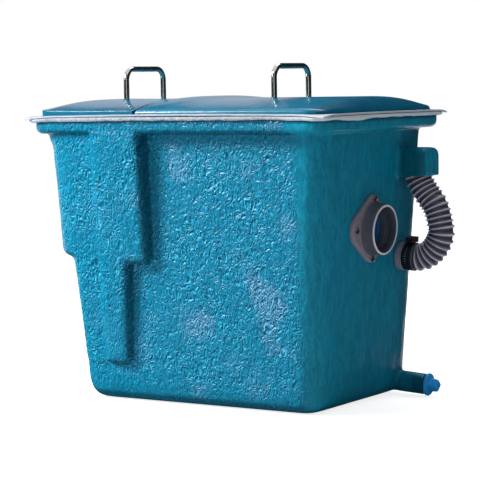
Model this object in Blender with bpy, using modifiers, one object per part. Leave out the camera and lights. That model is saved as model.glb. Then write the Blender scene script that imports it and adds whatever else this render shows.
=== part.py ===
"""Grease trap: a moulded tank with two lift-off lids, pipe fittings and a hose.

Metres, +Z up. The tank stands on z = 0 with its length along X, the outlet
end at +X and the inlet end at -X. The drain, the hose and its holder are on
the outlet end.
"""
from math import atan2, cos, pi, radians, sin, sqrt

import bmesh
import bpy
from mathutils import Vector

for leftover in list(bpy.data.objects):
    bpy.data.objects.remove(leftover, do_unlink=True)

# General fits
SEAT = 0.0003            # gap left between pieces that rest on each other
WALL = 0.0045            # laminate thickness of the tank

# Rim and collar
RIM_TOP = 0.352          # height of the rim sheet above the floor
RIM_LENGTH = 0.431
RIM_WIDTH = 0.305
RIM_SHEET = 0.003
RIM_CORNER = 0.006
RIM_OVERHANG = 0.0045    # rim sheet past the collar
COLLAR_HEIGHT = 0.0185
COLLAR_CORNER = 0.025
COLLAR_FOOT = 0.0075     # rounding under the collar
BEAD_HEIGHT = 0.0035     # bonding paste under the rim sheet
BEAD_FOOT_WIDTH = 0.001

# Tank walls: set back from the collar at the top, leaning in to the floor
FRONT_SETBACK = 0.0225
BACK_SETBACK = 0.0095
OUTLET_SETBACK = 0.0175
INLET_SETBACK = 0.0245
FRONT_LEAN = 0.0175
BACK_LEAN = 0.0175
OUTLET_LEAN = 0.0204
INLET_LEAN = 0.0179
BODY_CORNER = 0.030
BODY_FOOT = 0.022

# Inlet chamber: wider than the body above its shelf
SHELF_Z = 0.178
CHAMBER_END_SETBACK = 0.0085
CHAMBER_SIDE_SETBACK = 0.009
CHAMBER_END_LEAN = 0.0075
CHAMBER_SIDE_LEAN = 0.0075
CHAMBER_CORNER = 0.034
CHAMBER_FOOT = 0.009
CHAMBER_TOE_Z = 0.045    # where the lower chamber front meets the body
CHAMBER_TOE_DEPTH = 0.003

# Pilasters that hold the baffle, front and back
PILASTER_FROM_END = 0.090  # from the collar's inlet end to the pilaster
PILASTER_WIDTH = 0.074
PILASTER_JOG = 0.030     # the right side steps in below the shelf
PILASTER_RIGHT_LEAN = 0.007
PILASTER_TOE_Z = 0.048
PILASTER_FRONT_LEAN = 0.026
PILASTER_BACK_LEAN = 0.0145
PILASTER_ROUND = 0.010
PILASTER_FOOT = 0.0075

# Lids
LID_GAP = 0.0025         # between a lid and the inside of the collar
LID_SEAM_INSET = 0.009    # seam to the left of the pilaster's right side
LID_SEAM_GAP = 0.002
LID_WALL = 0.0035
LID_CORNER = 0.021
LID_LIP_HEIGHT = 0.006   # upright edge that shows above the rim
LID_CROWN = 0.0135       # rise of the middle over the lip
LID_END_RUN = 0.026      # length over which a lid's outer end rises
LID_EDGE_ROUND = 0.0035
SEAL_WIDTH = 0.0075
SEAL_HEIGHT = 0.003

# Lid handles
ROD_RADIUS = 0.0035
HANDLE_SPREAD = 0.0804   # between leg centres
HANDLE_TOP = 0.0565      # rod centre above the rim
HANDLE_BEND = 0.014
LEFT_HANDLE_FROM_END = 0.0732
RIGHT_HANDLE_FROM_END = 0.1306
LID_PAD_DEPTH = 0.002     # flat boss under the lid at each leg
LID_PAD_RADIUS = 0.011
THREAD_BELOW_LID = 0.009  # threaded end below the boss
WASHER_RADIUS = 0.008
WASHER_HEIGHT = 0.0015
NUT_FLATS = 0.012
NUT_HEIGHT = 0.0055

# Outlet and inlet fittings
OUTLET_Z = 0.2135
INLET_Z = 0.264
PIPE_RADIUS = 0.024
PIPE_WALL = 0.0025
HUB_SOCKET_STEP = 0.0033  # the mouth's bore is wider than the pipe
HUB_WALL = 0.0027
HUB_DRAFT = 0.0018
HUB_LENGTH = 0.022
FLANGE_THICKNESS = 0.005
FLANGE_EDGE_DRAFT = 0.0012
FLANGE_SIDE_EAR = 0.0177  # flange past the hub's root, to the sides
FLANGE_SIDE_ROUND = 0.019
FLANGE_TOP_EAR = 0.0092   # the same, up and down
FLANGE_TOP_ROUND = 0.015
PIPE_MOUTH_DEPTH = 0.012  # from the hub mouth back to the pipe's end
OUTLET_PIPE_INSIDE = 0.030
INLET_PIPE_INSIDE = 0.030
TEE_WALL = 0.0035
TEE_BRANCH = 0.024        # from the end of the pipe to the tee's centre
TEE_HALF_HEIGHT = 0.043
TEE_SOCKET = 0.020
DROP_PIPE_END_Z = 0.062
SCREW_CLEAR_Y = 0.0087    # from the hub's root to a screw's centre, to the sides
SCREW_CLEAR_Z = 0.0042    # the same, up and down
SCREW_RADIUS = 0.0021
SCREW_LENGTH = 0.0135
SCREW_HEAD_RADIUS = 0.0036
SCREW_HEAD_HEIGHT = 0.0026

# Baffle between the inlet chamber and the settling chamber
BAFFLE_THICKNESS = 0.004
BAFFLE_GAP = 0.0006
BAFFLE_TOP_Z = 0.318
BAFFLE_BOTTOM_Z = 0.066

# Strainer basket in the inlet chamber
BASKET_WALL = 0.0025
BASKET_RIM_THICKNESS = 0.003
BASKET_GAP = 0.003
BASKET_SIDE_GAP = 0.050   # from the collar's side to the basket's
BASKET_DEPTH = 0.108
BASKET_LEAN = 0.006
SLOT_WIDTH = 0.0045
SLOT_LENGTH = 0.034
SLOT_PITCH = 0.0155
SLOT_ROWS = (0.29, 0.68)  # middle of each row of slots, as shares of the depth
BASKET_CORNER = 0.014
BASKET_LEDGE = 0.009      # rim past the tub's sides

# Hose, its holder on the wall and its lower end
HOSE_FROM_BACK = 0.0675
HOSE_CREST_RADIUS = 0.017
HOSE_ROOT_RADIUS = 0.0147
HOSE_BORE_RADIUS = 0.0131
HOSE_CUFF = 0.017         # smooth end under the clamp
HOSE_CUFF_RADIUS = 0.0162
HOSE_PITCH = 0.0064
HOSE_FACETS = 14
HOSE_WALL_Z = 0.1745      # height of the lower end on the wall
HOSE_REACH = 0.0563       # from the wall to the loop's outer centre line
HOSE_END_ABOVE_HOLDER = 0.012
HOLDER_BOTTOM_Z = 0.272
HOLDER_HEIGHT = 0.035
HOLDER_WALL = 0.0032
HOLDER_GAP = 0.0008
HOLDER_CORNER = 0.0095
HOLDER_CROWN = 0.008
TAIL_RADIUS = 0.0127
TAIL_BORE_RADIUS = 0.0100
TAIL_OUTSIDE = 0.024
TAIL_COLLAR_RADIUS = 0.0175
TAIL_COLLAR_LENGTH = 0.0068
TAIL_NUT_FLATS = 0.036
TAIL_NUT_HEIGHT = 0.006
CLAMP_WIDTH = 0.0127
CLAMP_THICKNESS = 0.0009
CLAMP_BOX = (0.010, 0.014, 0.0068)   # along the hose, around it, outward
WORM_RADIUS = 0.0028
WORM_HEAD_RADIUS = 0.0037
WORM_HEAD_LENGTH = 0.0045

# Drain stub and its plug
DRAIN_FROM_BACK = 0.054
DRAIN_END_Z = 0.0147
DRAIN_LENGTH = 0.037
DRAIN_RADIUS = 0.0131
DRAIN_BORE_RADIUS = 0.0100
PLUG_THREAD_RADIUS = 0.0096
PLUG_THREAD_LENGTH = 0.013
PLUG_DISC_RADIUS = 0.0138
PLUG_DISC_THICKNESS = 0.0038
PLUG_HEAD_SIZE = 0.0125
PLUG_HEAD_LENGTH = 0.0105
GASKET_THICKNESS = 0.0014

# Levels and half sizes that follow from the values above
SHEET_UNDERSIDE = RIM_TOP - RIM_SHEET
COLLAR_TOP = SHEET_UNDERSIDE - SEAT
COLLAR_BOTTOM = SHEET_UNDERSIDE - COLLAR_HEIGHT
LEDGE_Z = COLLAR_BOTTOM + WALL
COLLAR_X = RIM_LENGTH / 2 - RIM_OVERHANG
COLLAR_Y = RIM_WIDTH / 2 - RIM_OVERHANG
PILASTER_LEFT = PILASTER_FROM_END - COLLAR_X
PILASTER_RIGHT = PILASTER_LEFT + PILASTER_WIDTH
LID_SEAM_X = PILASTER_RIGHT - LID_SEAM_INSET
LEFT_HANDLE_X = LEFT_HANDLE_FROM_END - COLLAR_X
RIGHT_HANDLE_X = COLLAR_X - RIGHT_HANDLE_FROM_END
HOSE_Y = COLLAR_Y - HOSE_FROM_BACK
DRAIN_Y = COLLAR_Y - DRAIN_FROM_BACK
BASKET_HALF_WIDTH = COLLAR_Y - BASKET_SIDE_GAP
HUB_BORE_RADIUS = PIPE_RADIUS + HUB_SOCKET_STEP
HUB_MOUTH_RADIUS = HUB_BORE_RADIUS + HUB_WALL
HUB_ROOT_RADIUS = HUB_MOUTH_RADIUS + HUB_DRAFT
SCREW_REACH_Y = HUB_ROOT_RADIUS + SCREW_CLEAR_Y
SCREW_REACH_Z = HUB_ROOT_RADIUS + SCREW_CLEAR_Z
TEE_RADIUS = PIPE_RADIUS + TEE_WALL
LIP_Z = RIM_TOP + LID_LIP_HEIGHT
LID_FOOT_Z = LEDGE_Z + SEAL_HEIGHT + 2 * SEAT
LID_X = COLLAR_X - WALL - LID_GAP
LID_Y = COLLAR_Y - WALL - LID_GAP
OUTLET_TILT = atan2(OUTLET_LEAN, COLLAR_BOTTOM)
INLET_TILT = atan2(CHAMBER_END_LEAN, COLLAR_BOTTOM - SHELF_Z)
BAFFLE_SEAT_Z = SHELF_Z + WALL - BAFFLE_THICKNESS - SEAT
PILASTER_SHELF_Z = BAFFLE_SEAT_Z - WALL - SEAT


cutters = bpy.data.collections.new("cutters")
bpy.context.scene.collection.children.link(cutters)
cutters.hide_render = True


def material(name, colour, roughness, metallic=0.0):
    """Make a Principled material; colour is linear RGB."""
    mat = bpy.data.materials.new(name)
    mat.use_nodes = True
    shader = mat.node_tree.nodes["Principled BSDF"]
    shader.inputs["Base Color"].default_value = (*colour, 1.0)
    shader.inputs["Roughness"].default_value = roughness
    shader.inputs["Metallic"].default_value = metallic
    return mat


def add_object(name, mesh, mat=None):
    """Link a mesh as a part of the product, or as a cutter when it has no material."""
    obj = bpy.data.objects.new(name, mesh)
    if mat is None:
        cutters.objects.link(obj)
        obj.display_type = "WIRE"
        obj.hide_render = True
    else:
        bpy.context.scene.collection.objects.link(obj)
        mesh.materials.append(mat)
    return obj


def finish(name, bm, mat=None):
    """Turn a bmesh into an object."""
    mesh = bpy.data.meshes.new(name)
    bm.to_mesh(mesh)
    bm.free()
    return add_object(name, mesh, mat)


def boolean(target, cutter, operation="DIFFERENCE"):
    """Add an exact Boolean modifier to the target."""
    modifier = target.modifiers.new(cutter.name, "BOOLEAN")
    modifier.operation = operation
    modifier.solver = "EXACT"
    modifier.object = cutter


def smooth(obj, angle=35.0):
    """Shade round stretches smooth and keep the real edges sharp."""
    obj.data.shade_smooth()
    obj.data.set_sharp_from_angle(angle=radians(angle))


def bake(obj):
    """Replace the object's mesh by its evaluated mesh and drop its modifiers."""
    graph = bpy.context.evaluated_depsgraph_get()
    mesh = bpy.data.meshes.new_from_object(obj.evaluated_get(graph))
    obj.modifiers.clear()
    obj.data = mesh
    return obj


def footprint(block, z):
    """Give a block's plan rectangle (x0, x1, y0, y1) at height z."""
    z_low, z_high = block["z"]
    share = (z - z_low) / (z_high - z_low)
    return [a + (b - a) * share for a, b in zip(block["low"], block["high"])]


def leaning_block(low, high, z, corner, foot=0.0, crown=0.0):
    """Describe a box whose four walls lean between its low and high rectangles."""
    return {"low": low, "high": high, "z": z, "corner": corner, "foot": foot, "crown": crown}


def inset(block, wall, z_low, z_high):
    """Describe the cavity of a block, one wall thickness inside it."""
    rectangles = []
    for z in (z_low, z_high):
        x0, x1, y0, y1 = footprint(block, z)
        rectangles.append((x0 + wall, x1 - wall, y0 + wall, y1 - wall))
    corner = max(block["corner"] - wall, 0.0015)
    foot = max(block["foot"] - wall, 0.0)
    return leaning_block(rectangles[0], rectangles[1], (z_low, z_high), corner, foot)


def block_solid(name, block, mat=None, segments=4):
    """Model a block: a cube, tapered, with rounded upright edges, foot and crown."""
    bm = bmesh.new()
    bmesh.ops.create_cube(bm, size=2.0)
    for vert in bm.verts:
        x0, x1, y0, y1 = block["high"] if vert.co.z > 0 else block["low"]
        x = x1 if vert.co.x > 0 else x0
        y = y1 if vert.co.y > 0 else y0
        z = block["z"][1] if vert.co.z > 0 else block["z"][0]
        vert.co = (x, y, z)
    if block["corner"] > 0:
        upright = [e for e in bm.edges if abs(e.verts[0].co.z - e.verts[1].co.z) > 1e-6]
        bmesh.ops.bevel(bm, geom=upright, offset=block["corner"], segments=segments,
                        profile=0.5, affect="EDGES")
    for level, size in zip(block["z"], (block["foot"], block["crown"])):
        if size > 0:
            ring = [e for e in bm.edges if all(abs(v.co.z - level) < 1e-6 for v in e.verts)]
            bmesh.ops.bevel(bm, geom=ring, offset=size, segments=3, profile=0.5, affect="EDGES")
    bmesh.ops.recalc_face_normals(bm, faces=bm.faces)
    return finish(name, bm, mat)


def plain_block(name, centre, size, mat=None):
    """Model a square-edged box."""
    bm = bmesh.new()
    bmesh.ops.create_cube(bm, size=1.0)
    bmesh.ops.scale(bm, vec=size, verts=bm.verts)
    bmesh.ops.translate(bm, vec=centre, verts=bm.verts)
    return finish(name, bm, mat)


def cylinder(name, radius, z_low, z_high, mat=None, segments=24):
    """Model a solid cylinder on its own Z axis."""
    bm = bmesh.new()
    bmesh.ops.create_cone(bm, cap_ends=True, segments=segments, radius1=radius,
                          radius2=radius, depth=z_high - z_low)
    bmesh.ops.translate(bm, vec=(0, 0, (z_low + z_high) / 2), verts=bm.verts)
    return finish(name, bm, mat)


def turned(name, profile, mat=None, steps=24, closed=True):
    """Turn a profile of (radius, z) points about the Z axis with a Screw modifier."""
    bm = bmesh.new()
    verts = [bm.verts.new((radius, 0.0, z)) for radius, z in profile]
    pairs = list(zip(verts, verts[1:]))
    if closed:
        pairs.append((verts[-1], verts[0]))
    for pair in pairs:
        bm.edges.new(pair)
    obj = finish(name, bm, mat)
    screw = obj.modifiers.new("turn", "SCREW")
    screw.axis = "Z"
    screw.steps = steps
    screw.render_steps = steps
    screw.use_merge_vertices = True
    screw.merge_threshold = 0.00005
    bake(obj)
    rebuilt = bmesh.new()
    rebuilt.from_mesh(obj.data)
    bmesh.ops.recalc_face_normals(rebuilt, faces=rebuilt.faces)
    rebuilt.to_mesh(obj.data)
    rebuilt.free()
    return obj


def tube(name, outer, inner, z_low, z_high, mat=None, steps=24):
    """Model a round tube on its own Z axis."""
    profile = [(outer, z_high), (outer, z_low), (inner, z_low), (inner, z_high)]
    return turned(name, profile, mat, steps)


def stand_on_outlet_wall(obj, y, z):
    """Put the object's Z axis along the outlet wall's outward normal at (y, z)."""
    obj.location = (footprint(body, z)[1], y, z)
    obj.rotation_euler = (0, pi / 2 + OUTLET_TILT, 0)
    return obj


def stand_on_inlet_wall(obj, z):
    """Put the object's Z axis along the inlet wall's outward normal at height z."""
    obj.location = (footprint(chamber, z)[0], 0, z)
    obj.rotation_euler = (0, -(pi / 2 + INLET_TILT), 0)
    return obj


gelcoat = material("blue_green_gelcoat", (0.006, 0.230, 0.330), 0.32)
lid_gelcoat = material("lid_gelcoat", (0.008, 0.250, 0.350), 0.16)
raw_laminate = material("raw_laminate", (0.600, 0.610, 0.630), 0.60)
paste = material("bonding_paste", (0.560, 0.560, 0.590), 0.65)
rubber = material("black_rubber", (0.020, 0.020, 0.022), 0.70)
stainless = material("stainless_steel", (0.620, 0.600, 0.580), 0.18, 1.0)
grey_pvc = material("grey_pvc", (0.110, 0.105, 0.115), 0.42)
light_pvc = material("light_grey_pvc", (0.300, 0.300, 0.330), 0.45)
blue_pvc = material("blue_pvc", (0.010, 0.150, 0.420), 0.35)
hose_pvc = material("hose_pvc", (0.170, 0.165, 0.185), 0.45)
basket_plastic = material("basket_plastic", (0.350, 0.360, 0.370), 0.50)
brass = material("brass", (0.420, 0.220, 0.100), 0.30, 1.0)


# Tank blocks: outer shapes that share the wall thickness of their cavities
body_left = -(COLLAR_X - INLET_SETBACK)
body_right = COLLAR_X - OUTLET_SETBACK
body_front = -(COLLAR_Y - FRONT_SETBACK)
body_back = COLLAR_Y - BACK_SETBACK
body = leaning_block(
    (body_left + INLET_LEAN, body_right - OUTLET_LEAN, body_front + FRONT_LEAN, body_back - BACK_LEAN),
    (body_left, body_right, body_front, body_back),
    (0.0, COLLAR_BOTTOM), BODY_CORNER, BODY_FOOT)

chamber_left = -(COLLAR_X - CHAMBER_END_SETBACK)
chamber_side = COLLAR_Y - CHAMBER_SIDE_SETBACK
chamber_right = (PILASTER_LEFT + PILASTER_RIGHT) / 2
chamber = leaning_block(
    (chamber_left + CHAMBER_END_LEAN, chamber_right, -chamber_side + CHAMBER_SIDE_LEAN,
     chamber_side - CHAMBER_SIDE_LEAN),
    (chamber_left, chamber_right, -chamber_side, chamber_side),
    (SHELF_Z, COLLAR_BOTTOM), CHAMBER_CORNER, CHAMBER_FOOT)

toe = footprint(body, CHAMBER_TOE_Z)
knee_z = SHELF_Z + CHAMBER_FOOT + WALL
knee = footprint(body, knee_z)
jog_right = PILASTER_RIGHT - PILASTER_JOG
lower_chamber = leaning_block(
    (toe[0] + 0.001, PILASTER_LEFT + 0.025, toe[2] - CHAMBER_TOE_DEPTH, 0.0),
    (knee[0] + 0.001, PILASTER_LEFT + 0.025, footprint(chamber, knee_z)[2] + 0.0004, 0.0),
    (CHAMBER_TOE_Z, knee_z), BODY_CORNER, 0.004)

collar = leaning_block(
    (-COLLAR_X, COLLAR_X, -COLLAR_Y, COLLAR_Y), (-COLLAR_X, COLLAR_X, -COLLAR_Y, COLLAR_Y),
    (COLLAR_BOTTOM, COLLAR_TOP), COLLAR_CORNER, COLLAR_FOOT)


def pilaster_depth(lean, z):
    """Give how far a pilaster's face stands from the centre plane at height z."""
    return COLLAR_Y - lean * (COLLAR_BOTTOM - z) / (COLLAR_BOTTOM - PILASTER_TOE_Z)


def pilaster_blocks(side, lean):
    """Describe the wide upper and the narrow lower block of one pilaster."""
    blocks = []
    spans = ((PILASTER_SHELF_Z, COLLAR_BOTTOM, PILASTER_RIGHT, PILASTER_RIGHT),
             (PILASTER_TOE_Z, PILASTER_SHELF_Z + 2 * WALL, jog_right - PILASTER_RIGHT_LEAN, jog_right))
    for z_low, z_high, right_low, right_high in spans:
        corners = []
        for z, right in ((z_low, right_low), (z_high, right_high)):
            face = side * pilaster_depth(lean, z)
            corners.append((PILASTER_LEFT, right, min(face, 0.0), max(face, 0.0)))
        blocks.append(leaning_block(corners[0], corners[1], (z_low, z_high),
                                    PILASTER_ROUND, PILASTER_FOOT))
    return blocks


front_pilaster = pilaster_blocks(-1, PILASTER_FRONT_LEAN)
back_pilaster = pilaster_blocks(1, PILASTER_BACK_LEAN)


def stretched(block, extra):
    """Carry a block's walls on above its top, into the collar floor."""
    z_low, z_high = block["z"]
    top = footprint(block, z_high + extra)
    return leaning_block(block["low"], top, (z_low, z_high + extra), block["corner"], block["foot"])


def make_tank():
    """Union the outer blocks, then cut the cavities, pockets and holes."""
    tank = block_solid("tank", stretched(body, WALL / 2), gelcoat)
    outer = [("collar_outside", collar), ("chamber_outside", stretched(chamber, WALL / 2)),
             ("lower_chamber_outside", lower_chamber)]
    for number, block in enumerate(front_pilaster + back_pilaster):
        high = stretched(block, WALL / 3) if block["z"][1] == COLLAR_BOTTOM else block
        outer.append((f"pilaster_outside_{number}", high))
    for name, block in outer:
        boolean(tank, block_solid(name, block), "UNION")

    holder = leaning_block(
        (body_right - 0.015, holder_right, HOSE_Y - holder_half, HOSE_Y + holder_half),
        (body_right - 0.012, holder_right, HOSE_Y - holder_half, HOSE_Y + holder_half),
        (HOLDER_BOTTOM_Z, HOLDER_BOTTOM_Z + HOLDER_HEIGHT), HOLDER_CORNER, 0.0, HOLDER_CROWN)
    boolean(tank, block_solid("holder_outside", holder, segments=3), "UNION")
    stub = cylinder("drain_stub_outside", DRAIN_RADIUS, -0.020, DRAIN_LENGTH, segments=20)
    boolean(tank, stand_on_drain(stub), "UNION")

    above = RIM_TOP + 0.010
    inner = [("body_inside", inset(body, WALL, WALL, COLLAR_BOTTOM + 2 * WALL)),
             ("chamber_inside", inset(chamber, WALL, SHELF_Z + WALL, COLLAR_BOTTOM + 2 * WALL)),
             ("lower_chamber_inside", inset(lower_chamber, WALL, CHAMBER_TOE_Z + WALL, knee_z + WALL / 2)),
             ("collar_inside", inset(collar, WALL, LEDGE_Z, above))]
    for number, block in enumerate(front_pilaster + back_pilaster):
        top = block["z"][1] + (2 * WALL if block["z"][1] == COLLAR_BOTTOM else 0.0)
        cavity = inset(block, WALL, block["z"][0] + WALL, top)
        inner.append((f"pilaster_inside_{number}", cavity))
    for name, block in inner:
        boolean(tank, block_solid(name, block))

    pocket_low = footprint(body, HOLDER_BOTTOM_Z - 0.010)[1]
    pocket_high = footprint(body, HOLDER_BOTTOM_Z + HOLDER_HEIGHT - HOLDER_WALL)[1]
    pocket = leaning_block(
        (pocket_low, holder_right - HOLDER_WALL, HOSE_Y - holder_half + HOLDER_WALL,
         HOSE_Y + holder_half - HOLDER_WALL),
        (pocket_high, holder_right - HOLDER_WALL, HOSE_Y - holder_half + HOLDER_WALL,
         HOSE_Y + holder_half - HOLDER_WALL),
        (HOLDER_BOTTOM_Z - 0.010, HOLDER_BOTTOM_Z + HOLDER_HEIGHT - HOLDER_WALL),
        HOLDER_CORNER - HOLDER_WALL)
    boolean(tank, block_solid("holder_pocket", pocket, segments=2))

    hole = PIPE_RADIUS + SEAT
    boolean(tank, stand_on_outlet_wall(cylinder("outlet_hole", hole, -6 * WALL, 4 * WALL), 0, OUTLET_Z))
    boolean(tank, stand_on_inlet_wall(cylinder("inlet_hole", hole, -6 * WALL, 4 * WALL), INLET_Z))
    hole = TAIL_RADIUS + SEAT
    boolean(tank, stand_on_outlet_wall(cylinder("tail_hole", hole, -4 * WALL, 4 * WALL), HOSE_Y, HOSE_WALL_Z))
    bore = cylinder("drain_bore", DRAIN_BORE_RADIUS, -0.030, DRAIN_LENGTH + 0.005, segments=20)
    boolean(tank, stand_on_drain(bore))
    for number, (across, up) in enumerate(screw_places()):
        for end in ("outlet", "inlet"):
            screw_hole = cylinder(f"{end}_screw_hole_{number}", SCREW_RADIUS + SEAT, -0.012, 0.010,
                                  segments=8)
            for vert in screw_hole.data.vertices:
                vert.co += Vector((up, across, 0))
            if end == "outlet":
                stand_on_outlet_wall(screw_hole, 0, OUTLET_Z)
            else:
                stand_on_inlet_wall(screw_hole, INLET_Z)
            boolean(tank, screw_hole)
    bake(tank)
    smooth(tank, 28)
    return tank


def screw_places():
    """Give the fitting screws' places around the hub: across and up the wall."""
    return [(SCREW_REACH_Y, 0.0), (0.0, SCREW_REACH_Z), (-SCREW_REACH_Y, 0.0), (0.0, -SCREW_REACH_Z)]


def stand_on_drain(obj):
    """Put the object's Z axis on the drain stub, its zero where the stub leaves the wall."""
    root_z = DRAIN_END_Z + sin(OUTLET_TILT) * DRAIN_LENGTH
    obj.location = (footprint(body, root_z)[1], DRAIN_Y, root_z)
    obj.rotation_euler = (0, pi / 2 + OUTLET_TILT, 0)
    return obj


hose_top_x = footprint(body, HOLDER_BOTTOM_Z + HOLDER_HEIGHT)[1] + HOLDER_GAP + HOSE_CREST_RADIUS
holder_right = hose_top_x + HOSE_CREST_RADIUS + HOLDER_GAP + HOLDER_WALL
holder_half = HOSE_CREST_RADIUS + 2 * HOLDER_GAP + HOLDER_WALL
tank = make_tank()


def make_ring(name, outer, inner, mat):
    """Model a rounded rectangular ring from an outer block and a cavity block."""
    ring = block_solid(name, outer, mat)
    boolean(ring, block_solid(f"{name}_opening", inner))
    bake(ring)
    smooth(ring)
    return ring


def rectangle(half_x, half_y):
    """Give a plan rectangle centred on the tank."""
    return (-half_x, half_x, -half_y, half_y)


# The rim sheet and the bead of bonding paste under it
sheet_plan = rectangle(RIM_LENGTH / 2, RIM_WIDTH / 2)
opening_plan = rectangle(COLLAR_X - WALL, COLLAR_Y - WALL)
make_ring(
    "rim_sheet",
    leaning_block(sheet_plan, sheet_plan, (SHEET_UNDERSIDE, RIM_TOP), RIM_CORNER),
    leaning_block(opening_plan, opening_plan, (SHEET_UNDERSIDE - 0.01, RIM_TOP + 0.01), COLLAR_CORNER - WALL),
    raw_laminate)
bead_top = rectangle(COLLAR_X + RIM_OVERHANG - 0.0012, COLLAR_Y + RIM_OVERHANG - 0.0012)
bead_foot = rectangle(COLLAR_X + BEAD_FOOT_WIDTH, COLLAR_Y + BEAD_FOOT_WIDTH)
bead_hole = rectangle(COLLAR_X + SEAT, COLLAR_Y + SEAT)
make_ring(
    "bonding_bead",
    leaning_block(bead_foot, bead_top, (SHEET_UNDERSIDE - BEAD_HEIGHT, SHEET_UNDERSIDE - SEAT), COLLAR_CORNER),
    leaning_block(bead_hole, bead_hole, (COLLAR_BOTTOM, RIM_TOP), COLLAR_CORNER + SEAT),
    paste)

# The seal strip on the ledge inside the collar
seal_inner = rectangle(COLLAR_X - WALL - SEAL_WIDTH, COLLAR_Y - WALL - SEAL_WIDTH)
make_ring(
    "lid_seal",
    inset(collar, WALL + SEAT, LEDGE_Z + SEAT, LEDGE_Z + SEAT + SEAL_HEIGHT),
    leaning_block(seal_inner, seal_inner, (LEDGE_Z - 0.01, LEDGE_Z + 0.02), COLLAR_CORNER - WALL - SEAL_WIDTH),
    rubber)


def crown_height(x, y, half_width, outer_x, side):
    """Give a lid's rise over its lip: a vault across the width that closes at the outer end."""
    across = 1 - abs(y / half_width) ** 3
    distance = max((outer_x - x) * side, 0.0)
    along = 1 - (1 - min(distance / LID_END_RUN, 1.0)) ** 2.2
    return LID_CROWN * max(across, 0.0) * along


def crowned_solid(name, seam_x, outer_x, half_width, z_low, z_lip, corner, mat=None, edge=0.0):
    """Model a lid's envelope: a rounded plate whose top follows the crown."""
    side = 1 if outer_x > seam_x else -1
    x0, x1 = sorted((seam_x, outer_x))
    bm = bmesh.new()
    bmesh.ops.create_cube(bm, size=2.0)
    for vert in bm.verts:
        vert.co = (x1 if vert.co.x > 0 else x0, half_width if vert.co.y > 0 else -half_width,
                   z_lip if vert.co.z > 0 else z_low)
    upright = [e for e in bm.edges if abs(e.verts[0].co.z - e.verts[1].co.z) > 1e-6
               and abs(e.verts[0].co.x - outer_x) < 1e-6]
    bmesh.ops.bevel(bm, geom=upright, offset=corner, segments=5, profile=0.5, affect="EDGES")
    if edge > 0:
        rim = [e for e in bm.edges if all(abs(v.co.z - z_lip) < 1e-6 for v in e.verts)]
        bmesh.ops.bevel(bm, geom=rim, offset=edge, segments=2, profile=0.6, affect="EDGES")
    runs = (0.16, 0.42, 0.72, 1.0)
    cuts_x = [outer_x - side * LID_END_RUN * run for run in runs]
    cuts_y = [half_width * share for share in (-0.86, -0.64, -0.36, 0.0, 0.36, 0.64, 0.86)]
    for place, normal in [((x, 0, 0), (1, 0, 0)) for x in cuts_x] + [((0, y, 0), (0, 1, 0)) for y in cuts_y]:
        geom = bm.verts[:] + bm.edges[:] + bm.faces[:]
        bmesh.ops.bisect_plane(bm, geom=geom, dist=1e-6, plane_co=place, plane_no=normal)
    for vert in bm.verts:
        if vert.co.z > z_lip - 1e-6:
            vert.co.z += crown_height(vert.co.x, vert.co.y, half_width, outer_x, side)
    bmesh.ops.recalc_face_normals(bm, faces=bm.faces)
    return finish(name, bm, mat)


def make_lid(name, seam_x, outer_x, handle_x):
    """Model one lid as a thin crowned shell, open below, drilled for its handle."""
    side = 1 if outer_x > seam_x else -1
    lid = crowned_solid(name, seam_x, outer_x, LID_Y, LID_FOOT_Z, LIP_Z, LID_CORNER, lid_gelcoat,
                        LID_EDGE_ROUND)
    hollow = crowned_solid(f"{name}_inside", seam_x + side * LID_WALL, outer_x - side * LID_WALL,
                           LID_Y - LID_WALL, LEDGE_Z - 0.01, LIP_Z - LID_WALL, LID_CORNER - LID_WALL)
    boolean(lid, hollow)
    seat_z = handle_seat(handle_x, outer_x)
    for y in (-HANDLE_SPREAD / 2, HANDLE_SPREAD / 2):
        pad = cylinder(f"{name}_pad_{y:+.3f}", LID_PAD_RADIUS, seat_z,
                       seat_z + LID_PAD_DEPTH + LID_WALL * 0.6, segments=16)
        pad.location = (handle_x, y, 0)
        boolean(lid, pad, "UNION")
        hole = cylinder(f"{name}_hole_{y:+.3f}", ROD_RADIUS + SEAT, RIM_TOP, RIM_TOP + 0.04, segments=12)
        hole.location = (handle_x, y, 0)
        boolean(lid, hole)
    bake(lid)
    smooth(lid, 30)
    return lid


def lid_underside(x, y, outer_x):
    """Give the height of a lid's underside at a place."""
    side = 1 if outer_x > LID_SEAM_X else -1
    return LIP_Z - LID_WALL + crown_height(x, y, LID_Y - LID_WALL, outer_x - side * LID_WALL, side)


def handle_seat(handle_x, outer_x):
    """Give the height of the flat bosses that a handle's washers press on."""
    return lid_underside(handle_x, HANDLE_SPREAD / 2, outer_x) - LID_PAD_DEPTH


def bent_rod(name, points, radius, mat):
    """Model a round rod along points, with filled ends."""
    curve = bpy.data.curves.new(name, "CURVE")
    curve.dimensions = "3D"
    curve.bevel_depth = radius
    curve.bevel_resolution = 2
    curve.use_fill_caps = True
    spline = curve.splines.new("POLY")
    spline.points.add(len(points) - 1)
    for point, place in zip(spline.points, points):
        point.co = (*place, 1.0)
    helper = bpy.data.objects.new(f"{name}_curve", curve)
    cutters.objects.link(helper)
    graph = bpy.context.evaluated_depsgraph_get()
    mesh = bpy.data.meshes.new_from_object(helper.evaluated_get(graph))
    bpy.data.objects.remove(helper, do_unlink=True)
    bm = bmesh.new()
    bm.from_mesh(mesh)
    bmesh.ops.remove_doubles(bm, verts=bm.verts, dist=1e-6)
    bmesh.ops.recalc_face_normals(bm, faces=bm.faces)
    mesh.materials.clear()
    obj = finish(name, bm, mat)
    smooth(obj)
    return obj


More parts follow.
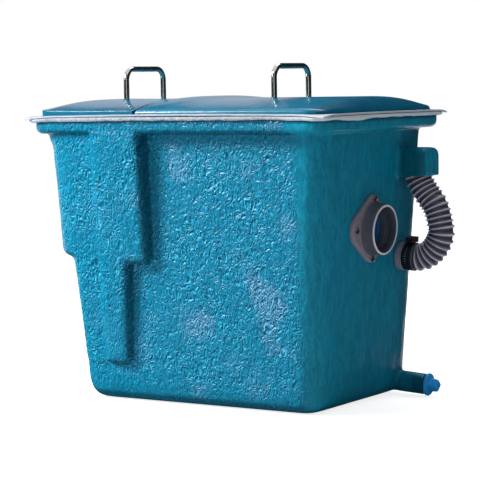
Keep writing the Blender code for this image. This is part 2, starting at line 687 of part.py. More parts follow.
def make_handle(name, x, outer_x):
    """Bend one lid handle, with its washers and nuts under the lid."""
    half = HANDLE_SPREAD / 2
    top = RIM_TOP + HANDLE_TOP
    seat_z = handle_seat(x, outer_x)
    foot = seat_z - THREAD_BELOW_LID
    points = [(x, -half, foot), (x, -half, top - HANDLE_BEND)]
    for step in range(1, 6):
        angle = pi / 2 * step / 6
        points.append((x, -half + HANDLE_BEND * (1 - cos(angle)), top - HANDLE_BEND * (1 - sin(angle))))
    points.append((x, -half + HANDLE_BEND, top))
    points += [(px, -py, pz) for px, py, pz in reversed(points)]
    bent_rod(name, points, ROD_RADIUS, stainless)
    for word, y in (("front", -half), ("back", half)):
        washer_top = seat_z - SEAT
        washer = tube(f"{name}_{word}_washer", WASHER_RADIUS, ROD_RADIUS + SEAT,
                      washer_top - WASHER_HEIGHT, washer_top, stainless, 12)
        washer.location = (x, y, 0)
        nut_top = washer_top - WASHER_HEIGHT - SEAT
        nut = cylinder(f"{name}_{word}_nut", NUT_FLATS / sqrt(3), nut_top - NUT_HEIGHT, nut_top,
                       stainless, segments=6)
        bore = cylinder(f"{name}_{word}_nut_bore", ROD_RADIUS + SEAT, nut_top - 0.02, nut_top + 0.02,
                        segments=12)
        boolean(nut, bore)
        bake(nut)
        nut.location = (x, y, 0)


make_lid("left_lid", LID_SEAM_X - LID_SEAM_GAP / 2, -LID_X, LEFT_HANDLE_X)
make_lid("right_lid", LID_SEAM_X + LID_SEAM_GAP / 2, LID_X, RIGHT_HANDLE_X)
make_handle("left_handle", LEFT_HANDLE_X, -LID_X)
make_handle("right_handle", RIGHT_HANDLE_X, LID_X)


def make_fitting(end, stand):
    """Model one pipe fitting: a rhombic flange with a hub, its screws and its pipe."""
    mouth = HUB_LENGTH
    hub = [(HUB_MOUTH_RADIUS, mouth), (HUB_ROOT_RADIUS, SEAT), (PIPE_RADIUS + SEAT, SEAT),
           (PIPE_RADIUS + SEAT, mouth - PIPE_MOUTH_DEPTH + 0.002),
           (HUB_BORE_RADIUS, mouth - PIPE_MOUTH_DEPTH + 0.002), (HUB_BORE_RADIUS, mouth)]
    fitting = turned(f"{end}_fitting", hub, grey_pvc, 24)

    # The flange is the hull of four rounded ears, two at the sides, one above and one below
    bm = bmesh.new()
    side = HUB_ROOT_RADIUS + FLANGE_SIDE_EAR - FLANGE_SIDE_ROUND
    high = HUB_ROOT_RADIUS + FLANGE_TOP_EAR - FLANGE_TOP_ROUND
    ears = [(0, side, FLANGE_SIDE_ROUND), (0, -side, FLANGE_SIDE_ROUND),
            (high, 0, FLANGE_TOP_ROUND), (-high, 0, FLANGE_TOP_ROUND)]
    for up, across, radius in ears:
        ear = bmesh.ops.create_cone(bm, segments=16, radius1=radius, radius2=radius - FLANGE_EDGE_DRAFT,
                                    depth=FLANGE_THICKNESS)["verts"]
        bmesh.ops.translate(bm, vec=(up, across, SEAT + FLANGE_THICKNESS / 2), verts=ear)
    hull = bmesh.ops.convex_hull(bm, input=bm.verts)
    bmesh.ops.delete(bm, geom=hull["geom_interior"], context="VERTS")
    bmesh.ops.dissolve_limit(bm, angle_limit=0.001, verts=bm.verts, edges=bm.edges)
    bmesh.ops.recalc_face_normals(bm, faces=bm.faces)
    plate = finish(f"{end}_flange_plate", bm)
    clear_bore = cylinder(f"{end}_flange_bore", HUB_BORE_RADIUS + 0.001, -0.01, 0.02, segments=24)
    boolean(plate, clear_bore)
    boolean(fitting, plate, "UNION")
    for number, (across, up) in enumerate(screw_places()):
        hole = cylinder(f"{end}_flange_hole_{number}", SCREW_RADIUS + SEAT, -0.01, 0.02, segments=8)
        for vert in hole.data.vertices:
            vert.co += Vector((up, across, 0))
        boolean(fitting, hole)
    bake(fitting)
    smooth(fitting, 30)
    stand(fitting)

    face = SEAT + FLANGE_THICKNESS
    for number, (across, up) in enumerate(screw_places(), start=1):
        profile = [(0.0, face + SCREW_HEAD_HEIGHT), (SCREW_HEAD_RADIUS * 0.6, face + SCREW_HEAD_HEIGHT * 0.85),
                   (SCREW_HEAD_RADIUS, face + SCREW_HEAD_HEIGHT * 0.3), (SCREW_HEAD_RADIUS, face + SEAT),
                   (SCREW_RADIUS, face + SEAT), (SCREW_RADIUS, face - SCREW_LENGTH + 0.003),
                   (0.0, face - SCREW_LENGTH)]
        screw = turned(f"{end}_screw_{number}", profile, stainless, 8, closed=False)
        for vert in screw.data.vertices:
            vert.co += Vector((up, across, 0))
        slot = plain_block(f"{end}_screw_slot_{number}", (up, across, face + SCREW_HEAD_HEIGHT),
                           (0.0009, SCREW_HEAD_RADIUS * 2.4, 0.0022))
        boolean(screw, slot)
        bake(screw)
        smooth(screw, 40)
        stand(screw)


make_fitting("outlet", lambda obj: stand_on_outlet_wall(obj, 0, OUTLET_Z))
make_fitting("inlet", lambda obj: stand_on_inlet_wall(obj, INLET_Z))

# Pipes through the walls, glued into the fittings
pipe_mouth = HUB_LENGTH - PIPE_MOUTH_DEPTH
outlet_pipe = tube("outlet_pipe", PIPE_RADIUS, PIPE_RADIUS - PIPE_WALL,
                   -WALL - OUTLET_PIPE_INSIDE, pipe_mouth, blue_pvc, 24)
stand_on_outlet_wall(outlet_pipe, 0, OUTLET_Z)
smooth(outlet_pipe)
inlet_pipe = tube("inlet_pipe", PIPE_RADIUS, PIPE_RADIUS - PIPE_WALL,
                  -WALL - INLET_PIPE_INSIDE, pipe_mouth, blue_pvc, 24)
stand_on_inlet_wall(inlet_pipe, INLET_Z)
smooth(inlet_pipe)


def make_outlet_tee():
    """Model the tee on the outlet pipe and the drop pipe that draws from below the grease."""
    pipe_end = Vector((-(WALL + OUTLET_PIPE_INSIDE) * cos(OUTLET_TILT), 0,
                       (WALL + OUTLET_PIPE_INSIDE) * sin(OUTLET_TILT)))
    start = Vector((footprint(body, OUTLET_Z)[1], 0, OUTLET_Z)) + pipe_end
    axis_x = start.x - TEE_BRANCH + TEE_SOCKET * 0.9
    tee = cylinder("outlet_tee", TEE_RADIUS, -TEE_HALF_HEIGHT, TEE_HALF_HEIGHT, blue_pvc, 24)
    branch = cylinder("tee_branch", TEE_RADIUS, 0.0, start.x - axis_x + TEE_SOCKET * 0.7, segments=24)
    branch.rotation_euler = (0, pi / 2 + OUTLET_TILT, 0)
    boolean(tee, branch, "UNION")
    bore = cylinder("tee_bore", PIPE_RADIUS + SEAT, -2 * TEE_HALF_HEIGHT, 2 * TEE_HALF_HEIGHT, segments=24)
    boolean(tee, bore)
    socket = cylinder("tee_socket", PIPE_RADIUS + SEAT, 0.0, 3 * TEE_RADIUS, segments=24)
    socket.rotation_euler = (0, pi / 2 + OUTLET_TILT, 0)
    boolean(tee, socket)
    bake(tee)
    smooth(tee, 30)
    tee.location = (axis_x, 0, OUTLET_Z + sin(OUTLET_TILT) * (footprint(body, OUTLET_Z)[1] - axis_x))
    drop_top = tee.location.z - TEE_HALF_HEIGHT + TEE_SOCKET
    drop = tube("outlet_drop_pipe", PIPE_RADIUS, PIPE_RADIUS - PIPE_WALL, DROP_PIPE_END_Z, drop_top - 0.003,
                blue_pvc, 24)
    drop.location = (axis_x, 0, 0)
    smooth(drop)


make_outlet_tee()


def make_baffle():
    """Fold the baffle plate and trim it to the inside of both pilasters."""
    half = BAFFLE_THICKNESS / 2
    upper_x = PILASTER_RIGHT - WALL - BAFFLE_GAP - half
    lower_x = jog_right - PILASTER_RIGHT_LEAN - WALL - 2 * BAFFLE_GAP - half
    shelf_mid = BAFFLE_SEAT_Z + half
    curve = bpy.data.curves.new("baffle_section", "CURVE")
    curve.dimensions = "2D"
    curve.fill_mode = "BOTH"
    curve.extrude = COLLAR_Y
    outline = [(lower_x - half, BAFFLE_BOTTOM_Z), (lower_x + half, BAFFLE_BOTTOM_Z),
               (lower_x + half, shelf_mid - half), (upper_x + half, shelf_mid - half),
               (upper_x + half, BAFFLE_TOP_Z), (upper_x - half, BAFFLE_TOP_Z),
               (upper_x - half, shelf_mid + half), (lower_x - half, shelf_mid + half)]
    spline = curve.splines.new("POLY")
    spline.points.add(len(outline) - 1)
    for point, (x, z) in zip(spline.points, outline):
        point.co = (x, z, 0.0, 1.0)
    spline.use_cyclic_u = True
    helper = bpy.data.objects.new("baffle_curve", curve)
    cutters.objects.link(helper)
    graph = bpy.context.evaluated_depsgraph_get()
    mesh = bpy.data.meshes.new_from_object(helper.evaluated_get(graph))
    bpy.data.objects.remove(helper, do_unlink=True)
    bm = bmesh.new()
    bm.from_mesh(mesh)
    bmesh.ops.remove_doubles(bm, verts=bm.verts, dist=1e-6)
    for vert in bm.verts:
        vert.co = (vert.co.x, -vert.co.z, vert.co.y)
    bmesh.ops.recalc_face_normals(bm, faces=bm.faces)
    baffle = finish("baffle", bm, gelcoat)

    envelopes = []
    for number, (front, back) in enumerate(zip(front_pilaster, back_pilaster)):
        left = PILASTER_LEFT + 0.005 * number
        across = leaning_block((left, *front["low"][1:3], back["low"][3]),
                               (left, *front["high"][1:3], back["high"][3]),
                               front["z"], PILASTER_ROUND, PILASTER_FOOT)
        bottom = (BAFFLE_SEAT_Z - SEAT / 2, PILASTER_TOE_Z + WALL)[number]
        fit = inset(across, WALL + BAFFLE_GAP * (1 + number / 2), bottom, across["z"][1])
        envelopes.append(block_solid(f"baffle_envelope_{number}", fit))
    boolean(envelopes[0], envelopes[1], "UNION")
    bake(envelopes[0])
    boolean(baffle, envelopes[0], "INTERSECT")
    bake(baffle)
    baffle.data.shade_flat()
    return lower_x - half, upper_x - half


baffle_lower_face, baffle_upper_face = make_baffle()


def make_basket():
    """Model the strainer basket: a rim that rests on the shelf, and a slotted tub."""
    rim_z = SHELF_Z + WALL + SEAT
    rim_left = footprint(chamber, rim_z)[0] + CHAMBER_FOOT + SEAT
    rim_right = baffle_upper_face - BASKET_GAP
    rim_plan = (rim_left, rim_right, -BASKET_HALF_WIDTH - BASKET_LEDGE, BASKET_HALF_WIDTH + BASKET_LEDGE)
    rim = leaning_block(rim_plan, rim_plan, (rim_z, rim_z + BASKET_RIM_THICKNESS), BASKET_CORNER)
    basket = block_solid("strainer_basket", rim, basket_plastic, segments=4)

    tub_left = footprint(body, SHELF_Z)[0] + WALL + BASKET_GAP
    tub_right = baffle_lower_face - BASKET_GAP
    bottom_z = rim_z - BASKET_DEPTH
    plan_high = (tub_left, tub_right, -BASKET_HALF_WIDTH, BASKET_HALF_WIDTH)
    plan_low = (tub_left + BASKET_LEAN, tub_right - BASKET_LEAN,
                -BASKET_HALF_WIDTH + BASKET_LEAN, BASKET_HALF_WIDTH - BASKET_LEAN)
    tub = leaning_block(plan_low, plan_high, (bottom_z, rim_z + BASKET_RIM_THICKNESS / 2), BASKET_CORNER, 0.006)
    boolean(basket, block_solid("basket_tub", tub, segments=4), "UNION")
    inside = inset(tub, BASKET_WALL, bottom_z + BASKET_WALL, rim_z + 0.010)
    boolean(basket, block_solid("basket_inside", inside, segments=4))

    slots = bmesh.new()
    middle_x = (tub_left + tub_right) / 2
    rows = [bottom_z + BASKET_DEPTH * share for share in SLOT_ROWS]

    def add_slot(centre, size):
        made = bmesh.ops.create_cube(slots, size=1.0)["verts"]
        bmesh.ops.scale(slots, vec=size, verts=made)
        bmesh.ops.translate(slots, vec=centre, verts=made)

    long_count = int((BASKET_HALF_WIDTH - BASKET_CORNER) / SLOT_PITCH)
    short_count = int(((tub_right - tub_left) / 2 - 2 * BASKET_CORNER) / SLOT_PITCH)
    for z in rows:
        for column in range(-long_count, long_count + 1):
            add_slot((middle_x, column * SLOT_PITCH, z), (2 * (tub_right - tub_left), SLOT_WIDTH, SLOT_LENGTH))
        for column in range(-short_count, short_count + 1):
            add_slot((middle_x + column * SLOT_PITCH, 0, z), (SLOT_WIDTH, 4 * BASKET_HALF_WIDTH, SLOT_LENGTH))
    for row in range(-long_count, long_count + 1):
        add_slot((middle_x, row * SLOT_PITCH, bottom_z), (SLOT_LENGTH, SLOT_WIDTH, 4 * BASKET_WALL))
    cutter = finish("basket_slots", slots)
    modifier = basket.modifiers.new("basket_slots", "BOOLEAN")
    modifier.operation = "DIFFERENCE"
    modifier.solver = "EXACT"
    modifier.use_self = True
    modifier.object = cutter
    bake(basket)
    smooth(basket, 30)


make_basket()


def hose_route():
    """Give the hose's centre line in the plane y = HOSE_Y, from the wall fitting to the holder."""
    wall_x = footprint(body, HOSE_WALL_Z)[1]
    along = Vector((cos(OUTLET_TILT), 0, -sin(OUTLET_TILT)))
    root = Vector((wall_x, HOSE_Y, HOSE_WALL_Z))
    start = root + along * (TAIL_COLLAR_LENGTH + 2 * SEAT)
    straight = root + along * (TAIL_COLLAR_LENGTH + HOSE_CUFF + 0.002)
    outer_x = wall_x + HOSE_REACH
    rise = HOLDER_BOTTOM_Z - HOSE_WALL_Z
    top = Vector((hose_top_x, HOSE_Y, HOLDER_BOTTOM_Z + HOSE_END_ABOVE_HOLDER))
    knots = [(start, along * 0.006), (straight, along * 0.0146),
             (Vector((outer_x, HOSE_Y, HOSE_WALL_Z + rise * 0.359)), Vector((-0.003, 0, 0.0174))),
             (Vector((hose_top_x + 0.0183, HOSE_Y, HOLDER_BOTTOM_Z - rise * 0.297)), Vector((-0.0049, 0, 0.0053))),
             (Vector((hose_top_x, HOSE_Y, HOLDER_BOTTOM_Z + 0.0009)), Vector((-0.0013, 0, 0.008))),
             (top - Vector((0.0006, 0, 0)), Vector((0, 0, 0.003)))]
    return knots


def make_hose():
    """Turn a corrugated tube, then bend it along its route with a Curve modifier."""
    curve = bpy.data.curves.new("hose_route", "CURVE")
    curve.dimensions = "3D"
    curve.resolution_u = 16
    curve.use_radius = False
    spline = curve.splines.new("BEZIER")
    knots = hose_route()
    spline.bezier_points.add(len(knots) - 1)
    for point, (place, handle) in zip(spline.bezier_points, knots):
        point.co = place
        point.handle_left = place - handle
        point.handle_right = place + handle
    route = bpy.data.objects.new("hose_route", curve)
    cutters.objects.link(route)
    length = spline.calc_length()

    ribs = round((length - HOSE_CUFF - 0.003) / HOSE_PITCH)
    pitch = (length - HOSE_CUFF - 0.003) / ribs
    outside = [(0.0, HOSE_CUFF_RADIUS), (HOSE_CUFF, HOSE_CUFF_RADIUS)]
    for rib in range(ribs):
        begin = HOSE_CUFF + 0.0015 + rib * pitch
        outside += [(begin + pitch * share, radius) for share, radius in
                    ((0.08, HOSE_ROOT_RADIUS), (0.38, HOSE_CREST_RADIUS), (0.70, HOSE_CREST_RADIUS))]
    outside.append((length, HOSE_ROOT_RADIUS))
    inside = [(HOSE_CUFF + (length - HOSE_CUFF) * step / ribs, HOSE_BORE_RADIUS) for step in range(ribs, -1, -1)]
    inside.append((0.0, HOSE_BORE_RADIUS))

    bm = bmesh.new()
    verts = [bm.verts.new((radius, 0.0, -along)) for along, radius in outside + inside]
    for pair in zip(verts, verts[1:] + verts[:1]):
        bm.edges.new(pair)
    hose = finish("drain_hose", bm, hose_pvc)
    screw = hose.modifiers.new("turn", "SCREW")
    screw.axis = "Z"
    screw.steps = HOSE_FACETS
    screw.render_steps = HOSE_FACETS
    screw.use_merge_vertices = True
    screw.merge_threshold = 0.00005
    bake(hose)
    for vert in hose.data.vertices:
        vert.co = (-vert.co.z, vert.co.y, vert.co.x)
    bend = hose.modifiers.new("bend", "CURVE")
    bend.object = route
    bend.deform_axis = "POS_X"
    bake(hose)
    bpy.data.objects.remove(route, do_unlink=True)
    bm = bmesh.new()
    bm.from_mesh(hose.data)
    bmesh.ops.recalc_face_normals(bm, faces=bm.faces)
    bm.to_mesh(hose.data)
    bm.free()
    smooth(hose, 40)


make_hose()


def make_hose_fittings():
    """Model the hose tail through the wall, its nut inside, and the worm clamp."""
    inside = -WALL - TAIL_NUT_HEIGHT - 0.004
    profile = [(TAIL_RADIUS, TAIL_OUTSIDE), (TAIL_RADIUS, SEAT + TAIL_COLLAR_LENGTH),
               (TAIL_COLLAR_RADIUS, SEAT + TAIL_COLLAR_LENGTH), (TAIL_COLLAR_RADIUS, SEAT),
               (TAIL_RADIUS, SEAT), (TAIL_RADIUS, inside), (TAIL_BORE_RADIUS, inside),
               (TAIL_BORE_RADIUS, TAIL_OUTSIDE)]
    tail = turned("hose_tail", profile, light_pvc, 20)
    smooth(tail)
    stand_on_outlet_wall(tail, HOSE_Y, HOSE_WALL_Z)

    nut_top = -WALL - SEAT - 0.0002
    nut = cylinder("hose_tail_nut", TAIL_NUT_FLATS / sqrt(3), nut_top - TAIL_NUT_HEIGHT, nut_top, light_pvc, 6)
    boolean(nut, cylinder("tail_nut_bore", TAIL_RADIUS + SEAT, nut_top - 0.03, nut_top + 0.03, segments=20))
    bake(nut)
    stand_on_outlet_wall(nut, HOSE_Y, HOSE_WALL_Z)

    band_low = TAIL_COLLAR_LENGTH + 2 * SEAT + 0.002
    band_inner = HOSE_CUFF_RADIUS + SEAT
    band = tube("clamp_band", band_inner + CLAMP_THICKNESS, band_inner, band_low, band_low + CLAMP_WIDTH,
                stainless, 28)
    smooth(band)
    stand_on_outlet_wall(band, HOSE_Y, HOSE_WALL_Z)

    # Local -X points up the wall: the worm housing sits on top of the band
    along, around, outward = CLAMP_BOX
    middle = band_low + CLAMP_WIDTH / 2
    base = band_inner + CLAMP_THICKNESS + SEAT
    housing = plain_block("clamp_housing", (-(base + outward / 2), 0, middle), (outward, around, along), brass)
    saddle = cylinder("housing_saddle", base, middle - 0.02, middle + 0.02, segments=24)
    worm_x = -(base + outward / 2 + 0.0004)
    channel = cylinder("housing_channel", WORM_RADIUS + SEAT, -0.03, 0.03, segments=12)
    channel.rotation_euler = (pi / 2, 0, 0)
    channel.location = (worm_x, 0, middle)
    boolean(housing, saddle)
    boolean(housing, channel)
    bake(housing)
    stand_on_outlet_wall(housing, HOSE_Y, HOSE_WALL_Z)

    half = around / 2
    worm_profile = [(0.0, half + WORM_HEAD_LENGTH), (WORM_HEAD_RADIUS, half + WORM_HEAD_LENGTH),
                    (WORM_HEAD_RADIUS, half + SEAT), (WORM_RADIUS, half + SEAT), (WORM_RADIUS, -half - 0.001),
                    (0.0, -half - 0.001)]
    worm = turned("clamp_screw", worm_profile, stainless, 12, closed=False)
    for vert in worm.data.vertices:
        x, y, z = vert.co
        vert.co = (worm_x + x, -z, middle + y)
    slot = plain_block("clamp_screw_slot", (worm_x, -half - WORM_HEAD_LENGTH, middle), (0.009, 0.0024, 0.0010))
    boolean(worm, slot)
    bake(worm)
    smooth(worm)
    stand_on_outlet_wall(worm, HOSE_Y, HOSE_WALL_Z)


make_hose_fittings()


def make_plug():
    """Model the threaded drain plug with its disc and square head, and its gasket."""
    face = DRAIN_LENGTH + SEAT
    gasket = tube("plug_gasket", PLUG_DISC_RADIUS - 0.0015, PLUG_THREAD_RADIUS + SEAT, face,
                  face + GASKET_THICKNESS, rubber, 20)
    stand_on_drain(gasket)
    smooth(gasket)
    disc = face + GASKET_THICKNESS + SEAT
    profile = [(0.0, disc + PLUG_DISC_THICKNESS), (PLUG_DISC_RADIUS * 0.86, disc + PLUG_DISC_THICKNESS),
               (PLUG_DISC_RADIUS, disc + PLUG_DISC_THICKNESS * 0.6), (PLUG_DISC_RADIUS, disc),
               (PLUG_THREAD_RADIUS, disc), (PLUG_THREAD_RADIUS, disc - PLUG_THREAD_LENGTH),
               (0.0, disc - PLUG_THREAD_LENGTH)]
    plug = turned("drain_plug", profile, blue_pvc, 20, closed=False)
    half = PLUG_HEAD_SIZE / 2
    head_low = disc + PLUG_DISC_THICKNESS / 2
    head = leaning_block((-half, half, -half, half), (-half * 0.9, half * 0.9, -half * 0.9, half * 0.9),
                         (head_low, head_low + PLUG_DISC_THICKNESS / 2 + PLUG_HEAD_LENGTH), 0.0015, 0.0, 0.001)
    head_solid = block_solid("plug_head", head, segments=2)
    for vert in head_solid.data.vertices:
        x, y, z = vert.co
        vert.co = ((x + y) * sqrt(0.5), (y - x) * sqrt(0.5), z)
    boolean(plug, head_solid, "UNION")
    bake(plug)
    smooth(plug, 30)
    stand_on_drain(plug)


make_plug()
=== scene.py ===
"""Looks of the grease trap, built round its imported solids. Metres, +Z up, outlet end at +X."""
from math import atan2, cos, exp, hypot, pi, radians, sin, sqrt

import bmesh
import bpy
import numpy as np
from mathutils import Matrix, Vector
from mathutils.bvhtree import BVHTree


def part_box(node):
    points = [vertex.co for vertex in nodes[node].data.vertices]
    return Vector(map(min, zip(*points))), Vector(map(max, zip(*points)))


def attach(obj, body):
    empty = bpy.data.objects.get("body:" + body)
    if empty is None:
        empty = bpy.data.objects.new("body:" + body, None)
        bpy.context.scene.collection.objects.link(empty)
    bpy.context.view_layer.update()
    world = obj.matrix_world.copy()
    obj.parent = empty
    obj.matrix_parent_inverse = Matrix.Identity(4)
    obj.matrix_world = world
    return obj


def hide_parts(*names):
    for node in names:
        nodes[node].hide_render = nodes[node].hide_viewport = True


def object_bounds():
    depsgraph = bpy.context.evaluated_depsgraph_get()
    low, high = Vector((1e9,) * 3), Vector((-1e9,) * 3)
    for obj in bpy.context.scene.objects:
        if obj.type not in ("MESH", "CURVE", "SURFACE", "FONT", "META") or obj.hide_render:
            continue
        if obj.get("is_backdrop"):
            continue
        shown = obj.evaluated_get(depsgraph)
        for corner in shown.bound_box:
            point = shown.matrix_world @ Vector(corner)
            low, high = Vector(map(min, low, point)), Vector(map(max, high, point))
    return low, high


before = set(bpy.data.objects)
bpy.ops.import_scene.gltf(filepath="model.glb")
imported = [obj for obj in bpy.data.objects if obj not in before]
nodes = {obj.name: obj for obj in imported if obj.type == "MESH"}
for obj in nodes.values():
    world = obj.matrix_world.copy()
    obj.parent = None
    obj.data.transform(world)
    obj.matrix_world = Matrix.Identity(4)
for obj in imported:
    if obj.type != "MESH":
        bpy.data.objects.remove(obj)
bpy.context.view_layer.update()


# Room. A plain white floor, white all round, a large soft lamp high on the front left, a weak strip
# below it and a weak lamp above the back. The outlet end stays in the shade, as in the photograph.
# Dark cards stand all round, which only reflections see, and one pale card shines in the lids.
def srgb(code):
    """Turn an sRGB hex colour into linear red, green, blue and alpha."""
    parts = [int(code[i:i + 2], 16) / 255 for i in (1, 3, 5)]
    return (*[p / 12.92 if p <= 0.04045 else ((p + 0.055) / 1.055) ** 2.4 for p in parts], 1.0)


def set_inputs(tree, node, inputs):
    """Set or link a node's inputs by name or number. A node as a value stands for its first output."""
    for key, value in inputs.items():
        if isinstance(value, bpy.types.Node):
            value = value.outputs[0]
        if isinstance(value, bpy.types.NodeSocket):
            tree.links.new(value, node.inputs[key])
        else:
            node.inputs[key].default_value = value


def add_node(tree, kind, settings=None, inputs=None):
    """Add a node, set its properties, and set or link its inputs."""
    node = tree.nodes.new(kind)
    for name, value in (settings or {}).items():
        setattr(node, name, value)
    set_inputs(tree, node, inputs or {})
    return node


SMOOTH = {"interpolation_type": "SMOOTHSTEP"}
TIMES = {"operation": "MULTIPLY"}
TIMES_PLUS = {"operation": "MULTIPLY_ADD"}
MINUS = {"operation": "SUBTRACT"}
SIZE_OF = {"operation": "ABSOLUTE"}
LARGER = {"operation": "MAXIMUM"}
BLEND = {"data_type": "RGBA"}
WEIGH = {"data_type": "FLOAT"}


def seen_directly(tree):
    """Give 1 for camera, glossy and transmission rays, and 0 for the rest."""
    path = add_node(tree, "ShaderNodeLightPath")
    first = add_node(tree, "ShaderNodeMath", LARGER,
                     {0: path.outputs["Is Camera Ray"], 1: path.outputs["Is Glossy Ray"]})
    return add_node(tree, "ShaderNodeMath", LARGER,
                    {0: first, 1: path.outputs["Is Transmission Ray"]}).outputs[0]


world = bpy.data.worlds.new("white_studio")
bpy.context.scene.world = world
world.use_nodes = True
world.node_tree.nodes.clear()
soft = add_node(world.node_tree, "ShaderNodeBackground", None, {"Color": srgb("#F4F7FF"), "Strength": 0.27})
plain = add_node(world.node_tree, "ShaderNodeBackground", None, {"Color": (1, 1, 1, 1), "Strength": 1.0})
both = add_node(world.node_tree, "ShaderNodeMixShader", None,
                {0: seen_directly(world.node_tree), 1: soft, 2: plain})
add_node(world.node_tree, "ShaderNodeOutputWorld", None, {"Surface": both})

FLOOR_HALF = 6
FLOOR_Z = -0.0002


def add_piece(name, mesh, material=None):
    """Link a mesh as a new piece."""
    piece = bpy.data.objects.new(name, mesh)
    bpy.context.scene.collection.objects.link(piece)
    if material:
        mesh.materials.clear()
        mesh.materials.append(material)
    return piece


paper = bpy.data.materials.new("white_studio_paper")
paper.use_nodes = True
paper.node_tree.nodes.clear()
lit = add_node(paper.node_tree, "ShaderNodeBsdfDiffuse", None, {"Color": (0.80, 0.80, 0.80, 1)})
lift = add_node(paper.node_tree, "ShaderNodeMath", TIMES, {0: seen_directly(paper.node_tree), 1: 0.80})
glow = add_node(paper.node_tree, "ShaderNodeEmission", None, {"Strength": lift})
total = add_node(paper.node_tree, "ShaderNodeAddShader", None, {0: lit, 1: glow})
add_node(paper.node_tree, "ShaderNodeOutputMaterial", None, {"Surface": total})
floor_mesh = bpy.data.meshes.new("floor")
corners = [(x * FLOOR_HALF, y * FLOOR_HALF, FLOOR_Z) for x, y in ((-1, -1), (1, -1), (1, 1), (-1, 1))]
floor_mesh.from_pydata(corners, [], [(0, 1, 2, 3)])
floor = add_piece("floor", floor_mesh, paper)
floor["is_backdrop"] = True


def add_lamp(name, place, target, size, watts, tint):
    """Hang one soft lamp that faces a point."""
    light = bpy.data.lights.new(name, "AREA")
    light.shape = "RECTANGLE"
    light.size, light.size_y = size
    light.energy = watts
    light.color = srgb(tint)[:3]
    lamp = bpy.data.objects.new(name, light)
    bpy.context.scene.collection.objects.link(lamp)
    lamp.location = place
    lamp.rotation_mode = "QUATERNION"
    lamp.rotation_quaternion = (Vector(target) - Vector(place)).to_track_quat("-Z", "Y")


add_lamp("key_softbox", (-1.65, -1.40, 1.55), (0, -0.05, 0.2), (0.75, 0.75), 104, "#FFFDF8")
add_lamp("low_strip", (-1.50, -2.15, 0.80), (0, -0.1, 0.2), (0.7, 0.22), 4, "#E0F2FF")
add_lamp("top_softbox", (-0.2, 0.9, 1.9), (0, 0, 0.3), (1.2, 0.9), 16, "#F2F0FF")


def add_card(name, corners, colour):
    """Stand a card that only reflections see, as a studio does to keep gloss from going white."""
    matt = bpy.data.materials.new(name)
    matt.use_nodes = True
    matt.node_tree.nodes.clear()
    shine = add_node(matt.node_tree, "ShaderNodeEmission", None, {"Color": srgb(colour), "Strength": 1.0})
    add_node(matt.node_tree, "ShaderNodeOutputMaterial", None, {"Surface": shine})
    mesh = bpy.data.meshes.new(name)
    mesh.from_pydata(corners, [], [(0, 1, 2, 3)])
    card = add_piece(name, mesh, matt)
    card.visible_camera = False
    card.visible_diffuse = False
    card.visible_shadow = False
    card.visible_transmission = False
    card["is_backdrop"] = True


add_card("pale_card", [(-2.6, 2.2, 0.2), (-1.10, 2.2, 0.2), (-1.50, 2.2, 1.50), (-2.6, 2.2, 1.50)], "#D0C8CE")
add_card("dark_back", [(-1.10, 2.2, 0.0), (0.6, 2.2, 0.0), (0.6, 2.2, 1.50), (-1.50, 2.2, 1.50)], "#17232A")
add_card("dark_above", [(-2.6, 2.2, 1.50), (0.6, 2.2, 1.50), (0.6, 2.0, 3.2), (-2.6, 2.0, 3.2)], "#17232A")
add_card("dark_end", [(0.6, 2.2, 0.0), (2.8, 0.3, 0.0), (2.8, 0.3, 3.2), (0.6, 2.2, 3.2)], "#1C2A30")
add_card("dark_right", [(2.8, -3.6, 0.0), (2.8, 0.3, 0.0), (2.8, 0.3, 3.2), (2.8, -3.6, 3.2)], "#1B272E")
add_card("dark_front", [(-3.2, -2.2, 0.0), (1.2, -3.6, 0.0), (1.2, -3.6, 4.2), (-3.2, -2.2, 4.2)], "#1B272E")
add_card("dark_left", [(-3.2, -2.2, 0.0), (-3.2, 1.2, 0.0), (-3.2, 1.2, 2.6), (-3.2, -2.2, 2.6)], "#1B272E")
LOW_CARD_Z = -0.0001
for name, corners in (("dark_floor", ((-3.2, -3.6), (2.8, -3.6), (2.8, 0.16), (-3.2, 0.16))),
                      ("dark_corner", ((0.24, 0.16), (2.8, 0.16), (0.6, 2.2), (0.24, 2.2)))):
    add_card(name, [(x, y, LOW_CARD_Z) for x, y in corners], "#18262C")

CAMERA_PLACE = (1.3237, -2.0462, 0.3893)
azimuth, elevation, roll = radians(32.86), radians(4.58), radians(-1.0)
back = Vector((sin(azimuth) * cos(elevation), -cos(azimuth) * cos(elevation), sin(elevation)))
level = Vector((cos(azimuth), sin(azimuth), 0))
upright = back.cross(level)
right = level * cos(roll) + upright * sin(roll)
over = upright * cos(roll) - level * sin(roll)
lens = bpy.data.cameras.new("camera")
lens.sensor_width = 36
lens.lens = 147.4
camera = bpy.data.objects.new("camera", lens)
bpy.context.scene.collection.objects.link(camera)
camera.matrix_world = Matrix.Translation(CAMERA_PLACE) @ Matrix((right, over, back)).transposed().to_4x4()
bpy.context.scene.camera = camera
bpy.context.scene.view_settings.view_transform = "Standard"


# Tank. One hand-laid moulding of glass fibre and polyester with blue-green gelcoat. It came off a
# soft-edged mould, so every arris is round, and the coat has dried in small creases like leather.
TANK_VOXEL = 0.0022
TANK_SMOOTHING = 11
TANK_LUMP = 0.00035
TANK_WRINKLE = 0.00022
TANK_TRIANGLES = 190000
TANK_INNER_TRIANGLES = 18000
TANK_CORNER = (-0.1525, -0.0895)
TANK_CORNER_EASE = 0.0036
COLLAR_FOOT_Z = 0.324
COLLAR_CRISP_Z = 0.317
